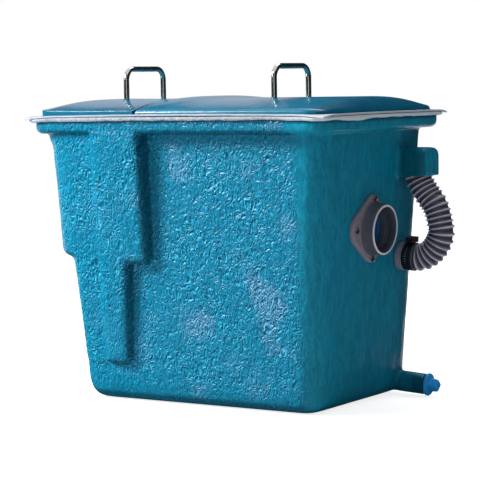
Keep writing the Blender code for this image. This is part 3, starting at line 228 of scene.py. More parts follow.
# Places that stay crisper than the walls: how much, a box's middle and reach, and its soft border
TANK_CRISP = {
    "hose holder": (0.70, (0.212, 0.0805, 0.290), (0.022, 0.024, 0.019), 0.004),
    "drain stub": (0.75, (0.200, 0.094, 0.016), (0.024, 0.0145, 0.016), 0.004),
    "upper pilaster": (0.60, (-0.051, -0.135, 0.250), (0.013, 0.022, 0.070), 0.006),
    "lower pilaster": (0.60, (-0.081, -0.125, 0.115), (0.014, 0.024, 0.066), 0.006)}
OUTLET_SEAT = ((0.186, 0.0, 0.2135), (0.01, 0.05, 0.045), 0.01)


def bake(piece):
    """Keep the evaluated mesh and drop the modifiers."""
    graph = bpy.context.evaluated_depsgraph_get()
    mesh = bpy.data.meshes.new_from_object(piece.evaluated_get(graph))
    piece.modifiers.clear()
    piece.data = mesh
    return piece


def read_vectors(mesh, kind):
    """Give a mesh's vertex places, kind co, or its normals, kind normal, as an array."""
    flat = np.empty(len(mesh.vertices) * 3, np.float32)
    mesh.vertices.foreach_get(kind, flat)
    return flat.reshape(-1, 3).astype(float)


def move_vertices(mesh, places):
    """Put a mesh's vertices at new places."""
    mesh.vertices.foreach_set("co", places.astype(np.float32).ravel())
    mesh.update()


def count_triangles(mesh):
    """Give the number of triangles that a mesh's faces come to."""
    return sum(len(face.vertices) - 2 for face in mesh.polygons)


def soft_waves(places, wavelength, seed):
    """Give a smooth value between about -1 and 1 at each place, from a few crossed waves."""
    dice = np.random.default_rng(seed)
    total = np.zeros(len(places))
    for _ in range(14):
        way = dice.normal(size=3)
        way *= 2 * pi / (wavelength * dice.uniform(0.7, 1.6) * np.linalg.norm(way))
        total += np.sin(places @ way + dice.uniform(0, 2 * pi))
    return total / 5.3


def new_material(name, **sockets):
    """Make a Principled material with plain sockets set, _ for a space, and give its Object coordinates."""
    made = bpy.data.materials.new(name)
    made.use_nodes = True
    tree = made.node_tree
    shader = tree.nodes["Principled BSDF"]
    for key, value in sockets.items():
        shader.inputs[key.replace("_", " ")].default_value = value
    return made, tree, shader, add_node(tree, "ShaderNodeTexCoord").outputs["Object"]


def paint_ramp(ramp, *stops):
    """Set a colour ramp's stops from positions and sRGB hex colours."""
    elements = ramp.color_ramp.elements
    for element, (position, code) in zip(elements, (stops[0], stops[-1])):
        element.position = position
        element.color = srgb(code)
    for position, code in stops[1:-1]:
        elements.new(position).color = srgb(code)


def roughen(tree, shader, grain, low, high, relief=None):
    """Let one noise set the roughness between two values and raise a relief of a strength and depth."""
    rough = add_node(tree, "ShaderNodeMapRange", None, {"Value": grain, "To Min": low, "To Max": high})
    set_inputs(tree, shader, {"Roughness": rough})
    if relief:
        bump = add_node(tree, "ShaderNodeBump", None,
                        {"Strength": relief[0], "Distance": relief[1], "Height": grain})
        set_inputs(tree, shader, {"Normal": bump})


def mottled(name, noise, tones, rough, relief=None, stretch=None, **sockets):
    """Make a material whose one noise mixes two tones and sets the roughness and the relief."""
    made, tree, shader, where = new_material(name, **sockets)
    if stretch:
        where = add_node(tree, "ShaderNodeMapping", None, {"Vector": where, "Scale": stretch}).outputs[0]
    mottle = add_node(tree, "ShaderNodeTexNoise", None,
                      {"Vector": where, "Scale": noise[0], "Detail": noise[1]})
    tone = add_node(tree, "ShaderNodeMix", BLEND,
                    {"Factor": mottle.outputs["Fac"], 6: srgb(tones[0]), 7: srgb(tones[1])})
    set_inputs(tree, shader, {"Base Color": tone.outputs[2]})
    roughen(tree, shader, mottle.outputs["Fac"], *rough, relief)
    return made


def off_crest(tree, place):
    """Give how far a warped noise is from its middle value, which is 0 along the creases' crests."""
    noise = add_node(tree, "ShaderNodeTexNoise", None,
                     {"Vector": place, "Scale": 185.0, "Detail": 1.0, "Distortion": 0.7})
    centred = add_node(tree, "ShaderNodeMath", MINUS, {0: noise.outputs["Fac"], 1: 0.5})
    return add_node(tree, "ShaderNodeMath", SIZE_OF, {0: centred}).outputs[0]


# Polyester gelcoat over chopped-strand mat: coloured through, glossy, creased every 4 mm like leather.
# The creases' light and shade is painted in the colour: lit on the flank towards the lamp, shaded on the
# other.
gelcoat, tree, shader, where = new_material("creased_gelcoat", IOR=1.5)
apart = add_node(tree, "ShaderNodeSeparateXYZ", None, {0: where})
on_end = add_node(tree, "ShaderNodeMapRange", SMOOTH,
                  {"Value": apart.outputs["X"], "From Min": 0.148, "From Max": 0.168})
wander = add_node(tree, "ShaderNodeTexNoise", None, {"Vector": where, "Scale": 60.0, "Detail": 1.0})
shift = add_node(tree, "ShaderNodeVectorMath", TIMES_PLUS,
                 {0: wander.outputs["Color"], 1: (0.013, 0.013, 0.013), 2: where})
lying = add_node(tree, "ShaderNodeMapping", None,
                 {"Vector": shift, "Location": (0.037, 0.0, 0.021), "Rotation": (0.0, -0.50, 0.0),
                  "Scale": (1.15, 1.0, 0.78)})
# The crease noise is read again a little towards the lamp; the difference is painted light and shade
toward_lamp = add_node(tree, "ShaderNodeVectorMath", None, {0: lying, 1: (-0.0008, 0.0, 0.0005)})
here = off_crest(tree, lying.outputs[0])
there = off_crest(tree, toward_lamp.outputs[0])
flank = add_node(tree, "ShaderNodeMath", MINUS, {0: there, 1: here})
crease_shading = add_node(tree, "ShaderNodeMapRange", None,
                 {"Value": flank, "From Min": -0.14, "From Max": 0.14, "To Min": -0.5, "To Max": 0.5})
areas = add_node(tree, "ShaderNodeTexNoise", None, {"Vector": where, "Scale": 21.0, "Detail": 1.0})
area = add_node(tree, "ShaderNodeMapRange", SMOOTH,
                {"Value": areas.outputs["Fac"], "From Min": 0.36, "From Max": 0.58, "To Min": 0.55})
on_collar = add_node(tree, "ShaderNodeMapRange", SMOOTH,
                     {"Value": apart.outputs["Z"], "From Min": 0.318, "From Max": 0.328,
                      "To Min": 1.0, "To Max": 0.55})
off_foot = add_node(tree, "ShaderNodeMapRange", SMOOTH,
                    {"Value": apart.outputs["Z"], "From Min": 0.010, "From Max": 0.045, "To Min": 0.30})
between = add_node(tree, "ShaderNodeMath", TIMES, {0: off_foot, 1: on_collar})
amount = add_node(tree, "ShaderNodeMath", TIMES, {0: area, 1: between})
relief = add_node(tree, "ShaderNodeMath", TIMES_PLUS, {0: crease_shading, 1: amount, 2: 0.49})
broad = add_node(tree, "ShaderNodeTexNoise", None, {"Vector": lying, "Scale": 75.0, "Detail": 1.0})
# Painted light and shade: the ramp runs from a crease's shaded flank to a painted highlight on its lit flank
tone = add_node(tree, "ShaderNodeValToRGB", None, {"Fac": relief})
paint_ramp(tone, (0.0, "#023C50"), (0.32, "#036180"), (0.50, "#047598"), (0.70, "#0E92B8"), (1.0, "#4DB8DA"))

# Painted sheen: pale lavender on the lit flanks of the creases, in patches past the pilaster
patches = add_node(tree, "ShaderNodeTexNoise", None, {"Vector": where, "Scale": 15.0, "Detail": 2.0})
patch = add_node(tree, "ShaderNodeMapRange", SMOOTH,
                 {"Value": patches.outputs["Fac"], "From Min": 0.53, "From Max": 0.68})
past_pilaster = add_node(tree, "ShaderNodeMapRange", SMOOTH,
                         {"Value": apart.outputs["X"], "From Min": -0.09, "From Max": -0.03, "To Min": 0.12})
faint = add_node(tree, "ShaderNodeMath", TIMES, {0: patch, 1: past_pilaster})
sheen = add_node(tree, "ShaderNodeMapRange", None,
                 {"Value": relief, "From Min": 0.42, "From Max": 0.85, "To Max": 0.60})
painted_sheen = add_node(tree, "ShaderNodeMath", TIMES, {0: sheen, 1: faint})
coat = add_node(tree, "ShaderNodeMix", BLEND,
                {"Factor": painted_sheen, 6: tone.outputs["Color"], 7: srgb("#9DB6E2")})

# Painted shade: darker on the pilaster's outlet side and on undersides.
# The tank's own normals, stored as facing, tell those sides.
facing_way = add_node(tree, "ShaderNodeAttribute", {"attribute_name": "facing"})
facing = add_node(tree, "ShaderNodeSeparateXYZ", None, {0: facing_way.outputs["Vector"]})
to_outlet = add_node(tree, "ShaderNodeMapRange", SMOOTH,
                     {"Value": facing.outputs["X"], "From Min": 0.40, "From Max": 0.85, "To Max": 0.55})
by_pilaster = add_node(tree, "ShaderNodeMapRange", None,
                       {"Value": apart.outputs["X"], "From Min": 0.06, "From Max": 0.03})
on_flank = add_node(tree, "ShaderNodeMath", TIMES, {0: to_outlet, 1: by_pilaster})
to_floor = add_node(tree, "ShaderNodeMapRange", SMOOTH,
                    {"Value": facing.outputs["Z"], "From Min": -0.30, "From Max": -0.70, "To Max": 0.50})
side_and_underside_shade = add_node(tree, "ShaderNodeMath", LARGER, {0: on_flank, 1: to_floor})
front_coat = add_node(tree, "ShaderNodeMix", BLEND,
                      {"Factor": side_and_underside_shade, 6: coat.outputs[2], 7: srgb("#03303F")})

# The outlet end was rolled: upright streaks, duller. Towards the back edge it is darker, painted shade
# with some soiling, and the side of the hose holder that faces the front is painted shade
streak_place = add_node(tree, "ShaderNodeMapping", None, {"Vector": shift, "Scale": (1.0, 1.0, 0.14)})
streaks = add_node(tree, "ShaderNodeTexNoise", None,
                   {"Vector": streak_place, "Scale": 260.0, "Detail": 4.0, "Roughness": 0.6})
streak = add_node(tree, "ShaderNodeMapRange", SMOOTH,
                  {"Value": streaks.outputs["Fac"], "From Min": 0.34, "From Max": 0.66})
end_tone = add_node(tree, "ShaderNodeMix", BLEND,
                    {"Factor": streak, 6: srgb("#0A7590"), 7: srgb("#0F8BA8")})
to_back = add_node(tree, "ShaderNodeMapRange", SMOOTH,
                   {"Value": apart.outputs["Y"], "From Min": 0.060, "From Max": 0.125, "To Max": 0.70})
on_wall = add_node(tree, "ShaderNodeMapRange", None,
                   {"Value": apart.outputs["X"], "From Min": 0.200, "From Max": 0.195})
wall_back = add_node(tree, "ShaderNodeMath", TIMES, {0: to_back, 1: on_wall})
to_front = add_node(tree, "ShaderNodeMapRange", SMOOTH,
                    {"Value": facing.outputs["Y"], "From Min": -0.35, "From Max": -0.80, "To Max": 0.60})
off_wall = add_node(tree, "ShaderNodeMath", MINUS, {0: 1.0, 1: on_wall})
above = add_node(tree, "ShaderNodeMapRange", None,
                 {"Value": apart.outputs["Z"], "From Min": 0.300, "From Max": 0.310})
under_collar = add_node(tree, "ShaderNodeMath", MINUS, {0: off_wall, 1: above})
# Painted shade on the side of the hose holder that faces the front
holder_front_shade = add_node(tree, "ShaderNodeMath", {"operation": "MULTIPLY", "use_clamp": True},
                   {0: to_front, 1: under_collar})
# Painted shade, with some soiling, darkens the end wall towards its back edge
back_shade_and_soil = add_node(tree, "ShaderNodeMix", BLEND,
                     {"Factor": wall_back, 6: end_tone.outputs[2], 7: srgb("#0A4650")})
end_coat = add_node(tree, "ShaderNodeMix", BLEND,
                    {"Factor": holder_front_shade, 6: back_shade_and_soil.outputs[2], 7: srgb("#033540")})
surface = add_node(tree, "ShaderNodeMix", BLEND,
                   {"Factor": on_end, 6: front_coat.outputs[2], 7: end_coat.outputs[2]})
# Painted shadow: a dark band on the collar just under the paste
under_paste = add_node(tree, "ShaderNodeMapRange", SMOOTH,
                       {"Value": apart.outputs["Z"], "From Min": 0.3405, "From Max": 0.3440, "To Max": 0.75})
paste_shadow = add_node(tree, "ShaderNodeMix", BLEND,
                   {"Factor": under_paste, 6: surface.outputs[2], 7: srgb("#04455A")})
gloss = add_node(tree, "ShaderNodeMapRange", None,
                 {"Value": patches.outputs["Fac"], "From Min": 0.3, "From Max": 0.7,
                  "To Min": 0.30, "To Max": 0.38})
front_lustre = add_node(tree, "ShaderNodeMapRange", None,
                        {"Value": past_pilaster, "From Min": 0.12, "To Min": 0.12, "To Max": 0.27})
lustre = add_node(tree, "ShaderNodeMix", WEIGH, {0: on_end, 2: front_lustre, 3: 0.14})
front_height = add_node(tree, "ShaderNodeMath", TIMES_PLUS, {0: here, 1: -1.2, 2: broad.outputs["Fac"]})
end_height = add_node(tree, "ShaderNodeMath", TIMES, {0: broad.outputs["Fac"], 1: 0.30})
height = add_node(tree, "ShaderNodeMix", WEIGH, {0: on_end, 2: front_height, 3: end_height})
bump = add_node(tree, "ShaderNodeBump", None, {"Strength": 1.0, "Distance": 0.0030, "Height": height})
set_inputs(tree, shader, {"Base Color": paste_shadow.outputs[2], "Roughness": gloss, "Specular IOR Level": lustre,
                          "Normal": bump})

tank_mesh = nodes["tank"].data.copy()
shape = bmesh.new()
shape.from_mesh(tank_mesh)
bmesh.ops.remove_doubles(shape, verts=shape.verts, dist=1e-5)
shape.to_mesh(tank_mesh)
shape.free()
tank = add_piece("moulded_tank", tank_mesh, gelcoat)
remesh = tank.modifiers.new("voxels", "REMESH")
remesh.mode = "VOXEL"
remesh.voxel_size = TANK_VOXEL
bake(tank)
places = read_vectors(tank.data, "co")
pairs = np.empty(len(tank.data.edges) * 2, np.int32)
tank.data.edges.foreach_get("vertices", pairs)
pairs = pairs.reshape(-1, 2)
count = len(places)
degree = np.bincount(pairs.ravel(), minlength=count)


def near(centre, reach, ease):
    """Give 1 inside a box about a centre, falling to 0 over a distance outside it."""
    outside = np.maximum(np.abs(places - np.array(centre)) - np.array(reach), 0).max(axis=1)
    return np.clip(1 - outside / ease, 0, 1)


# The front inlet corner is a little rounder than the plain solid's, as in the photo
towards = places[:, :2] - np.array(TANK_CORNER)
reach = np.maximum(np.hypot(towards[:, 0], towards[:, 1]), 1e-6)
turn = np.arctan2(np.maximum(-towards[:, 1], 0), np.maximum(-towards[:, 0], 0))
ease = TANK_CORNER_EASE * np.sin(2 * turn) ** 1.5 * np.clip(reach / 0.030, 0, 1)
ease *= np.clip((COLLAR_FOOT_Z - places[:, 2]) / 0.010, 0, 1)
places[:, :2] -= towards / reach[:, None] * ease[:, None]

hold = np.clip((places[:, 2] - COLLAR_CRISP_Z) / 0.008, 0, 1) * 0.90
for share, centre, half, border in TANK_CRISP.values():
    hold = np.maximum(hold, share * near(centre, half, border))
weight = (0.5 * (1 - hold))[:, None]
for _ in range(TANK_SMOOTHING):
    mean = np.empty_like(places)
    for axis in range(3):
        mean[:, axis] = (np.bincount(pairs[:, 0], places[pairs[:, 1], axis], count)
                         + np.bincount(pairs[:, 1], places[pairs[:, 0], axis], count))
    places += weight * (mean / degree[:, None] - places)

# Low lumps and a few long wrinkles, left out where a fitting seats
move_vertices(tank.data, places)
normals = read_vectors(tank.data, "normal")
lump = TANK_LUMP * (0.7 * soft_waves(places, 0.055, 3) + 0.5 * soft_waves(places, 0.024, 5))
wrinkle = 1 - np.minimum(np.abs(soft_waves(places, 0.017, 7)) * 1.5, 1)
lump += TANK_WRINKLE * wrinkle * np.clip((0.170 - places[:, 0]) / 0.01, 0.1, 1)
lump *= 1 - np.maximum(hold, near(*OUTLET_SEAT))
lump *= np.clip(places[:, 2] / 0.02, 0, 1)
places += normals * lump[:, None]
places[:, 2] = np.maximum(places[:, 2], 0.0)
move_vertices(tank.data, places)

# The inside needs few faces, so the vertices with a wall on all four sides are thinned first
OFF_WALL = 0.0006
FAR = 0.5
tree_of_walls = BVHTree.FromPolygons(places.tolist(), [list(p.vertices) for p in tank.data.polygons])
inside = tank.vertex_groups.new(name="inside")
sides = [Vector(side) for side in ((0, 1, 0), (0, -1, 0), (1, 0, 0), (-1, 0, 0))]
hidden = []
for number in range(count):
    start = Vector(places[number] + normals[number] * OFF_WALL)
    if all(tree_of_walls.ray_cast(start, side, FAR)[0] is not None for side in sides):
        hidden.append(number)
inside.add(hidden, 1.0, "REPLACE")
outer_triangles = count_triangles(tank.data) * (1 - len(hidden) / count)
for goal, group in ((outer_triangles + TANK_INNER_TRIANGLES, "inside"), (TANK_TRIANGLES, "")):
    faces = count_triangles(tank.data)
    if faces > goal:
        thin = tank.modifiers.new("thin", "DECIMATE")
        thin.ratio = goal / faces
        thin.vertex_group = group
        bake(tank)
tank.data.shade_smooth()
facing = read_vectors(tank.data, "normal").astype(np.float32)
tank.data.attributes.new("facing", "FLOAT_VECTOR", "POINT").data.foreach_set("vector", facing.ravel())
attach(tank, "trap")
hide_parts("tank")


# Rim sheet. A thin sheet of bare laminate that was bonded on the collar and left rough: it bows up
# in the middle of each side and droops at its pointed corners. A run of paste holds it.
RIM_HALF = (0.2155, 0.1525)
RIM_OPENING = (0.2065, 0.1435)
RIM_CORNER = 0.0028
RIM_OPENING_CORNER = 0.0205
RIM_UNDER = 0.349
RIM_TOP = 0.352
COLLAR_HALF = (0.211, 0.148)
COLLAR_CORNER = 0.025


def outline(half_x, half_y, corner, per_side=44, per_corner=12):
    """Give the points round a rounded rectangle, the same number for any size."""
    points = []
    for quarter, (sx, sy) in enumerate(((1, 1), (-1, 1), (-1, -1), (1, -1))):
        centre = np.array((sx * (half_x - corner), sy * (half_y - corner)))
        start = quarter * pi / 2
        angles = [start + pi / 2 * k / per_corner for k in range(per_corner + 1)]
        arc = [centre + corner * np.array((cos(angle), sin(angle))) for angle in angles]
        points += arc
        nx, ny = ((-1, 1), (-1, -1), (1, -1), (1, 1))[quarter]
        after = np.array((nx * (half_x - corner), ny * (half_y - corner)))
        angle = start + pi / 2
        goal = after + corner * np.array((cos(angle), sin(angle)))
        points += [arc[-1] + (goal - arc[-1]) * k / per_side for k in range(1, per_side)]
    return np.array(points)


def loft(name, rings, material, loop=False, caps=False):
    """Join rings of equal count into one closed skin: looped on itself, or capped at its ends."""
    count = len(rings[0])
    verts = [tuple(p) for ring in rings for p in ring]
    faces = []
    last = len(rings) if loop else len(rings) - 1
    for k in range(last):
        a = k * count
        b = (k + 1) % len(rings) * count
        faces += [(a + i, a + (i + 1) % count, b + (i + 1) % count, b + i) for i in range(count)]
    if caps:
        faces.append(tuple(range(count)))
        faces.append(tuple(range(len(verts) - count, len(verts))))
    mesh = bpy.data.meshes.new(name)
    mesh.from_pydata(verts, [], faces)
    skin = bmesh.new()
    skin.from_mesh(mesh)
    bmesh.ops.recalc_face_normals(skin, faces=skin.faces)
    skin.to_mesh(mesh)
    skin.free()
    mesh.shade_smooth()
    mesh.set_sharp_from_angle(angle=radians(38))
    return add_piece(name, mesh, material)


def paint_end_light(tree, where, colour, dust):
    """Lighten a colour towards the outlet end: painted light on the end, which lies in shade."""
    along = add_node(tree, "ShaderNodeSeparateXYZ", None, {0: where})
    dusty = add_node(tree, "ShaderNodeMapRange", None,
                     {"Value": along.outputs["X"], "From Min": 0.135, "From Max": 0.200, "To Max": 0.85})
    return add_node(tree, "ShaderNodeMix", BLEND, {"Factor": dusty, 6: colour, 7: srgb(dust)}).outputs[2]


# Bare glass laminate: off-white resin with grey glass strands, dull, speckled with resin dust
laminate, tree, shader, where = new_material("bare_laminate", IOR=1.52)
strands = add_node(tree, "ShaderNodeTexNoise", None,
                   {"Vector": where, "Scale": 520.0, "Detail": 4.0, "Roughness": 0.7, "Distortion": 1.2})
speckle = add_node(tree, "ShaderNodeTexNoise", None, {"Vector": where, "Scale": 900.0, "Detail": 1.0})
stain = add_node(tree, "ShaderNodeTexNoise", None, {"Vector": where, "Scale": 45.0, "Detail": 3.0})
tone = add_node(tree, "ShaderNodeValToRGB", None, {"Fac": strands.outputs["Fac"]})
paint_ramp(tone, (0.32, "#84909F"), (0.62, "#B2BCC9"))
flecks = add_node(tree, "ShaderNodeMapRange", None,
                  {"Value": speckle.outputs["Fac"], "From Min": 0.62, "From Max": 0.70, "To Max": 0.55})
spotted = add_node(tree, "ShaderNodeMix", BLEND,
                   {"Factor": flecks, 6: tone.outputs["Color"], 7: srgb("#7D8494")})
dirt = add_node(tree, "ShaderNodeMapRange", None,
                {"Value": stain.outputs["Fac"], "From Min": 0.45, "From Max": 0.75, "To Max": 0.35})
sheet_colour = add_node(tree, "ShaderNodeMix", BLEND,
                        {"Factor": dirt, 6: spotted.outputs[2], 7: srgb("#9BA0B0")})
# Painted light: the sheet is paler towards the outlet end, which lies in shade
set_inputs(tree, shader, {"Base Color": paint_end_light(tree, where, sheet_colour.outputs[2], "#C4D0D6")})
roughen(tree, shader, strands.outputs["Fac"], 0.70, 0.45, (0.7, 0.0006))


def sheet_lift(plan):
    """Give how far the sheet bows up or droops at each place."""
    x = np.abs(plan[:, 0]) / RIM_HALF[0]
    y = np.abs(plan[:, 1]) / RIM_HALF[1]
    bow = 0.0021 * (1 - x ** 2) * y ** 6 + 0.0008 * (1 - y ** 2) * x ** 6
    tip = np.clip((x + y - 1.84) / 0.16, 0, 1) ** 1.5
    return bow - np.where(plan[:, 0] > 0, 0.0026, 0.0030) * tip


outer = outline(*RIM_HALF, RIM_CORNER)
inner = outline(*RIM_OPENING, RIM_OPENING_CORNER)
edge_noise = soft_waves(np.c_[outer, np.zeros(len(outer))], 0.030, 11)
fine_noise = soft_waves(np.c_[outer, np.zeros(len(outer))], 0.007, 12)
rings = []
for share, up in ((0.0, 0.0), (0.0, 1.0), (0.35, 1.0), (0.7, 1.0), (0.95, 0.98), (1.0, 0.82), (1.0, 0.08),
                  (0.97, 0.0), (0.6, 0.0), (0.3, 0.0)):
    plan = inner + (outer - inner) * share
    ragged = 0.0004 * edge_noise + 0.00025 * fine_noise - 0.0006
    plan = plan * (1 + (ragged / np.hypot(plan[:, 0], plan[:, 1]) * max(share - 0.6, 0) * 2.5)[:, None])
    thin = 1 - 0.25 * share
    level = 1 - thin + thin * up if up < 0.5 else up
    height = RIM_UNDER + 0.00015 + (RIM_TOP - RIM_UNDER - 0.0002) * level
    lift = sheet_lift(plan) * min(share * 2, 1) + 0.00018 * fine_noise * share
    rings.append(np.c_[plan, height + lift])
rim = loft("bonded_rim_sheet", rings, laminate, loop=True)
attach(rim, "trap")
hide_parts("rim_sheet")

# Polyester bonding paste: the same off-white, knifed in, with a ragged lower edge
paste, tree, shader, where = new_material("bonding_paste", IOR=1.5, Roughness=0.55)
smear = add_node(tree, "ShaderNodeTexNoise", None,
                 {"Vector": where, "Scale": 240.0, "Detail": 4.0, "Distortion": 0.8})
tone = add_node(tree, "ShaderNodeValToRGB", None, {"Fac": smear.outputs["Fac"]})
paint_ramp(tone, (0.3, "#8D99A9"), (0.68, "#B9C4D0"))
bump = add_node(tree, "ShaderNodeBump", None,
                {"Strength": 0.8, "Distance": 0.0009, "Height": smear.outputs["Fac"]})
# Painted light: the paste is paler towards the outlet end, which lies in shade
paste_end_light = paint_end_light(tree, where, tone.outputs["Color"], "#CFDADF")
set_inputs(tree, shader, {"Base Color": paste_end_light, "Normal": bump})
collar_line = outline(COLLAR_HALF[0] - 0.0004, COLLAR_HALF[1] - 0.0004, COLLAR_CORNER - 0.0004, 120, 14)
far_line = outline(COLLAR_HALF[0] + 0.0045, COLLAR_HALF[1] + 0.0045, COLLAR_CORNER - 0.004, 120, 14)
sag = soft_waves(np.c_[collar_line, np.zeros(len(collar_line))], 0.034, 21)
crumb = soft_waves(np.c_[collar_line, np.zeros(len(collar_line))], 0.006, 22)
to_right = np.clip((collar_line[:, 0] + 0.05) / 0.25, 0, 1)
lump = np.exp(-((collar_line[:, 1] + 0.075) / 0.030) ** 2) * (collar_line[:, 0] > 0.2)
drop = 0.0044 + 0.0006 * sag + 0.00022 * crumb - 0.0004 * to_right + 0.0020 * lump
swell = np.clip(0.95 + 0.06 * sag + 0.04 * crumb, 0.8, 1.0)
rings = []
for share, up in ((0.0, 1.0), (1.0, 1.0), (1.0, 0.62), (0.9, 0.34), (0.62, 0.10), (0.30, 0.0), (0.0, 0.02)):
    plan = collar_line + (far_line - collar_line) * (share * (swell if share > 0 else 1))[:, None] \
        if share > 0 else collar_line
    top = RIM_UNDER + np.minimum(sheet_lift(plan), 0.0014)
    rings.append(np.c_[plan, top - drop * (1 - up)])
bead = loft("paste_bead", rings, paste, loop=True)
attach(bead, "trap")
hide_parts("bonding_bead")


# Lid seal and plug gasket. Strips and a ring of black foamed rubber. The strip lies on the ledge
# inside the collar, under both lids, and the ring sits between the drain stub and its plug.
rubber, tree, shader, where = new_material("black_foam_rubber", IOR=1.52, Roughness=0.72)
cells = add_node(tree, "ShaderNodeTexVoronoi", None, {"Vector": where, "Scale": 1400.0})
tone = add_node(tree, "ShaderNodeValToRGB", None, {"Fac": cells.outputs["Distance"]})
paint_ramp(tone, (0.0, "#141416"), (1.0, "#2A2A2D"))
bump = add_node(tree, "ShaderNodeBump", None,
                {"Strength": 0.35, "Distance": 0.0003, "Height": cells.outputs["Distance"]})
set_inputs(tree, shader, {"Base Color": tone, "Normal": bump})
outer = outline(0.2062, 0.1432, 0.0202)
inner = outline(0.1990, 0.1360, 0.0130)
rings = []
for share, height in ((0, 0.3353), (0, 0.3378), (0.12, 0.3383), (0.88, 0.3383), (1, 0.3378), (1, 0.3353)):
    rings.append(np.c_[inner + (outer - inner) * share, np.full(len(outer), height)])
seal = loft("lid_seal_strip", rings, rubber, loop=True)
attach(seal, "trap")
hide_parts("lid_seal")


# Lids. Two thin crowned shells of the same laminate, moulded in a polished tool, so their coat is
# mirror-bright. Each drops into the collar and rises to a vault over a short rounded lip.
LID_Y = 0.141
LID_X = 0.204
LID_SEAM_X = -0.056
LID_SEAM_GAP = 0.0026
LID_FOOT_Z = 0.3386
LID_LIP_Z = 0.358
LID_CROWN = 0.0125
LID_HUMP = 0.0031
LID_END_RUN = 0.030
LID_END_LIP_DROP = {-1: -0.0012, 1: 0.0030}
LID_END_LIP_RUN = {-1: 0.090, 1: 0.030}
LID_CORNER = 0.021
LID_EDGE = {-1: 0.0006, 1: 0.0035}
LID_SEAM_EDGE = {-1: 0.0008, 1: 0.0050}
LID_WALL = 0.0035
HANDLE_HALF = 0.0402
HANDLE_PLACES = {"left": -0.1378, "right": 0.0804}

# Polished gelcoat: the tank's blue-green, wet-looking, with faint ripples and polishing haze
lid_coat, tree, shader, where = new_material("polished_gelcoat", IOR=1.5)
ripple = add_node(tree, "ShaderNodeTexNoise", None, {"Vector": where, "Scale": 38.0, "Detail": 2.0})
haze = add_node(tree, "ShaderNodeTexNoise", None,
                {"Vector": where, "Scale": 12.0, "Detail": 5.0, "Roughness": 0.6})
peel = add_node(tree, "ShaderNodeTexNoise", None, {"Vector": where, "Scale": 420.0, "Detail": 1.0})
tone = add_node(tree, "ShaderNodeValToRGB", None, {"Fac": haze.outputs["Fac"]})
paint_ramp(tone, (0.3, "#066281"), (0.7, "#0B7899"))
gloss = add_node(tree, "ShaderNodeMapRange", None,
                 {"Value": haze.outputs["Fac"], "From Min": 0.3, "From Max": 0.7,
                  "To Min": 0.16, "To Max": 0.26})
wavy = add_node(tree, "ShaderNodeMath", TIMES_PLUS,
                {0: peel.outputs["Fac"], 1: 0.05, 2: ripple.outputs["Fac"]})
bump = add_node(tree, "ShaderNodeBump", None, {"Strength": 0.35, "Distance": 0.0012, "Height": wavy})
set_inputs(tree, shader, {"Base Color": tone, "Roughness": gloss, "Normal": bump})


def lid_height(x, y, outer_x, side):
    """Give the height of a lid's top, with its rounded lip and its seam edge."""
    from_end = max((outer_x - x) * side, 0.0)
    from_side = max(LID_Y - abs(y), 0.0)
    from_seam = max((x - LID_SEAM_X) * side - LID_SEAM_GAP / 2, 0.0)
    across = max(1 - abs(y / LID_Y) ** 3, 0.0)
    along = 1 - (1 - min(from_end / LID_END_RUN, 1.0)) ** 2.4
    hump = LID_HUMP * exp(-((x + 0.027) / 0.029) ** 2) if side > 0 else 0.0
    low_lip = LID_END_LIP_DROP[side] * (1 - min(from_end / LID_END_LIP_RUN[side], 1.0)) ** 2
    height = LID_LIP_Z - low_lip + (LID_CROWN + hump) * across * along
    edge = min(from_end, from_side)
    if from_end < LID_CORNER and from_side < LID_CORNER:
        edge = max(LID_CORNER - hypot(LID_CORNER - from_end, LID_CORNER - from_side), 0.0)
    lip = LID_EDGE[side]
    if edge < lip:
        height -= lip - sqrt(max(lip ** 2 - (lip - edge) ** 2, 0.0))
    curl = LID_SEAM_EDGE[side]
    if from_seam < curl:
        height -= 0.7 * (curl - sqrt(max(curl ** 2 - (curl - from_seam) ** 2, 0.0)))
    return height


def lid_steps(length, first_edge, last_edge, middle):
    """Space stations along a length, close together in the rounded edges at both ends."""
    curve = [1 - cos(radians(a)) for a in (0, 14, 28, 42, 56, 70, 82, 90)]
    stations = [first_edge * c for c in curve] + [length - last_edge * c for c in curve]
    low, high = first_edge * 1.5, length - last_edge * 1.5
    stations += [low + (high - low) * k / middle for k in range(middle + 1)]
    return sorted(set(round(s, 7) for s in stations))


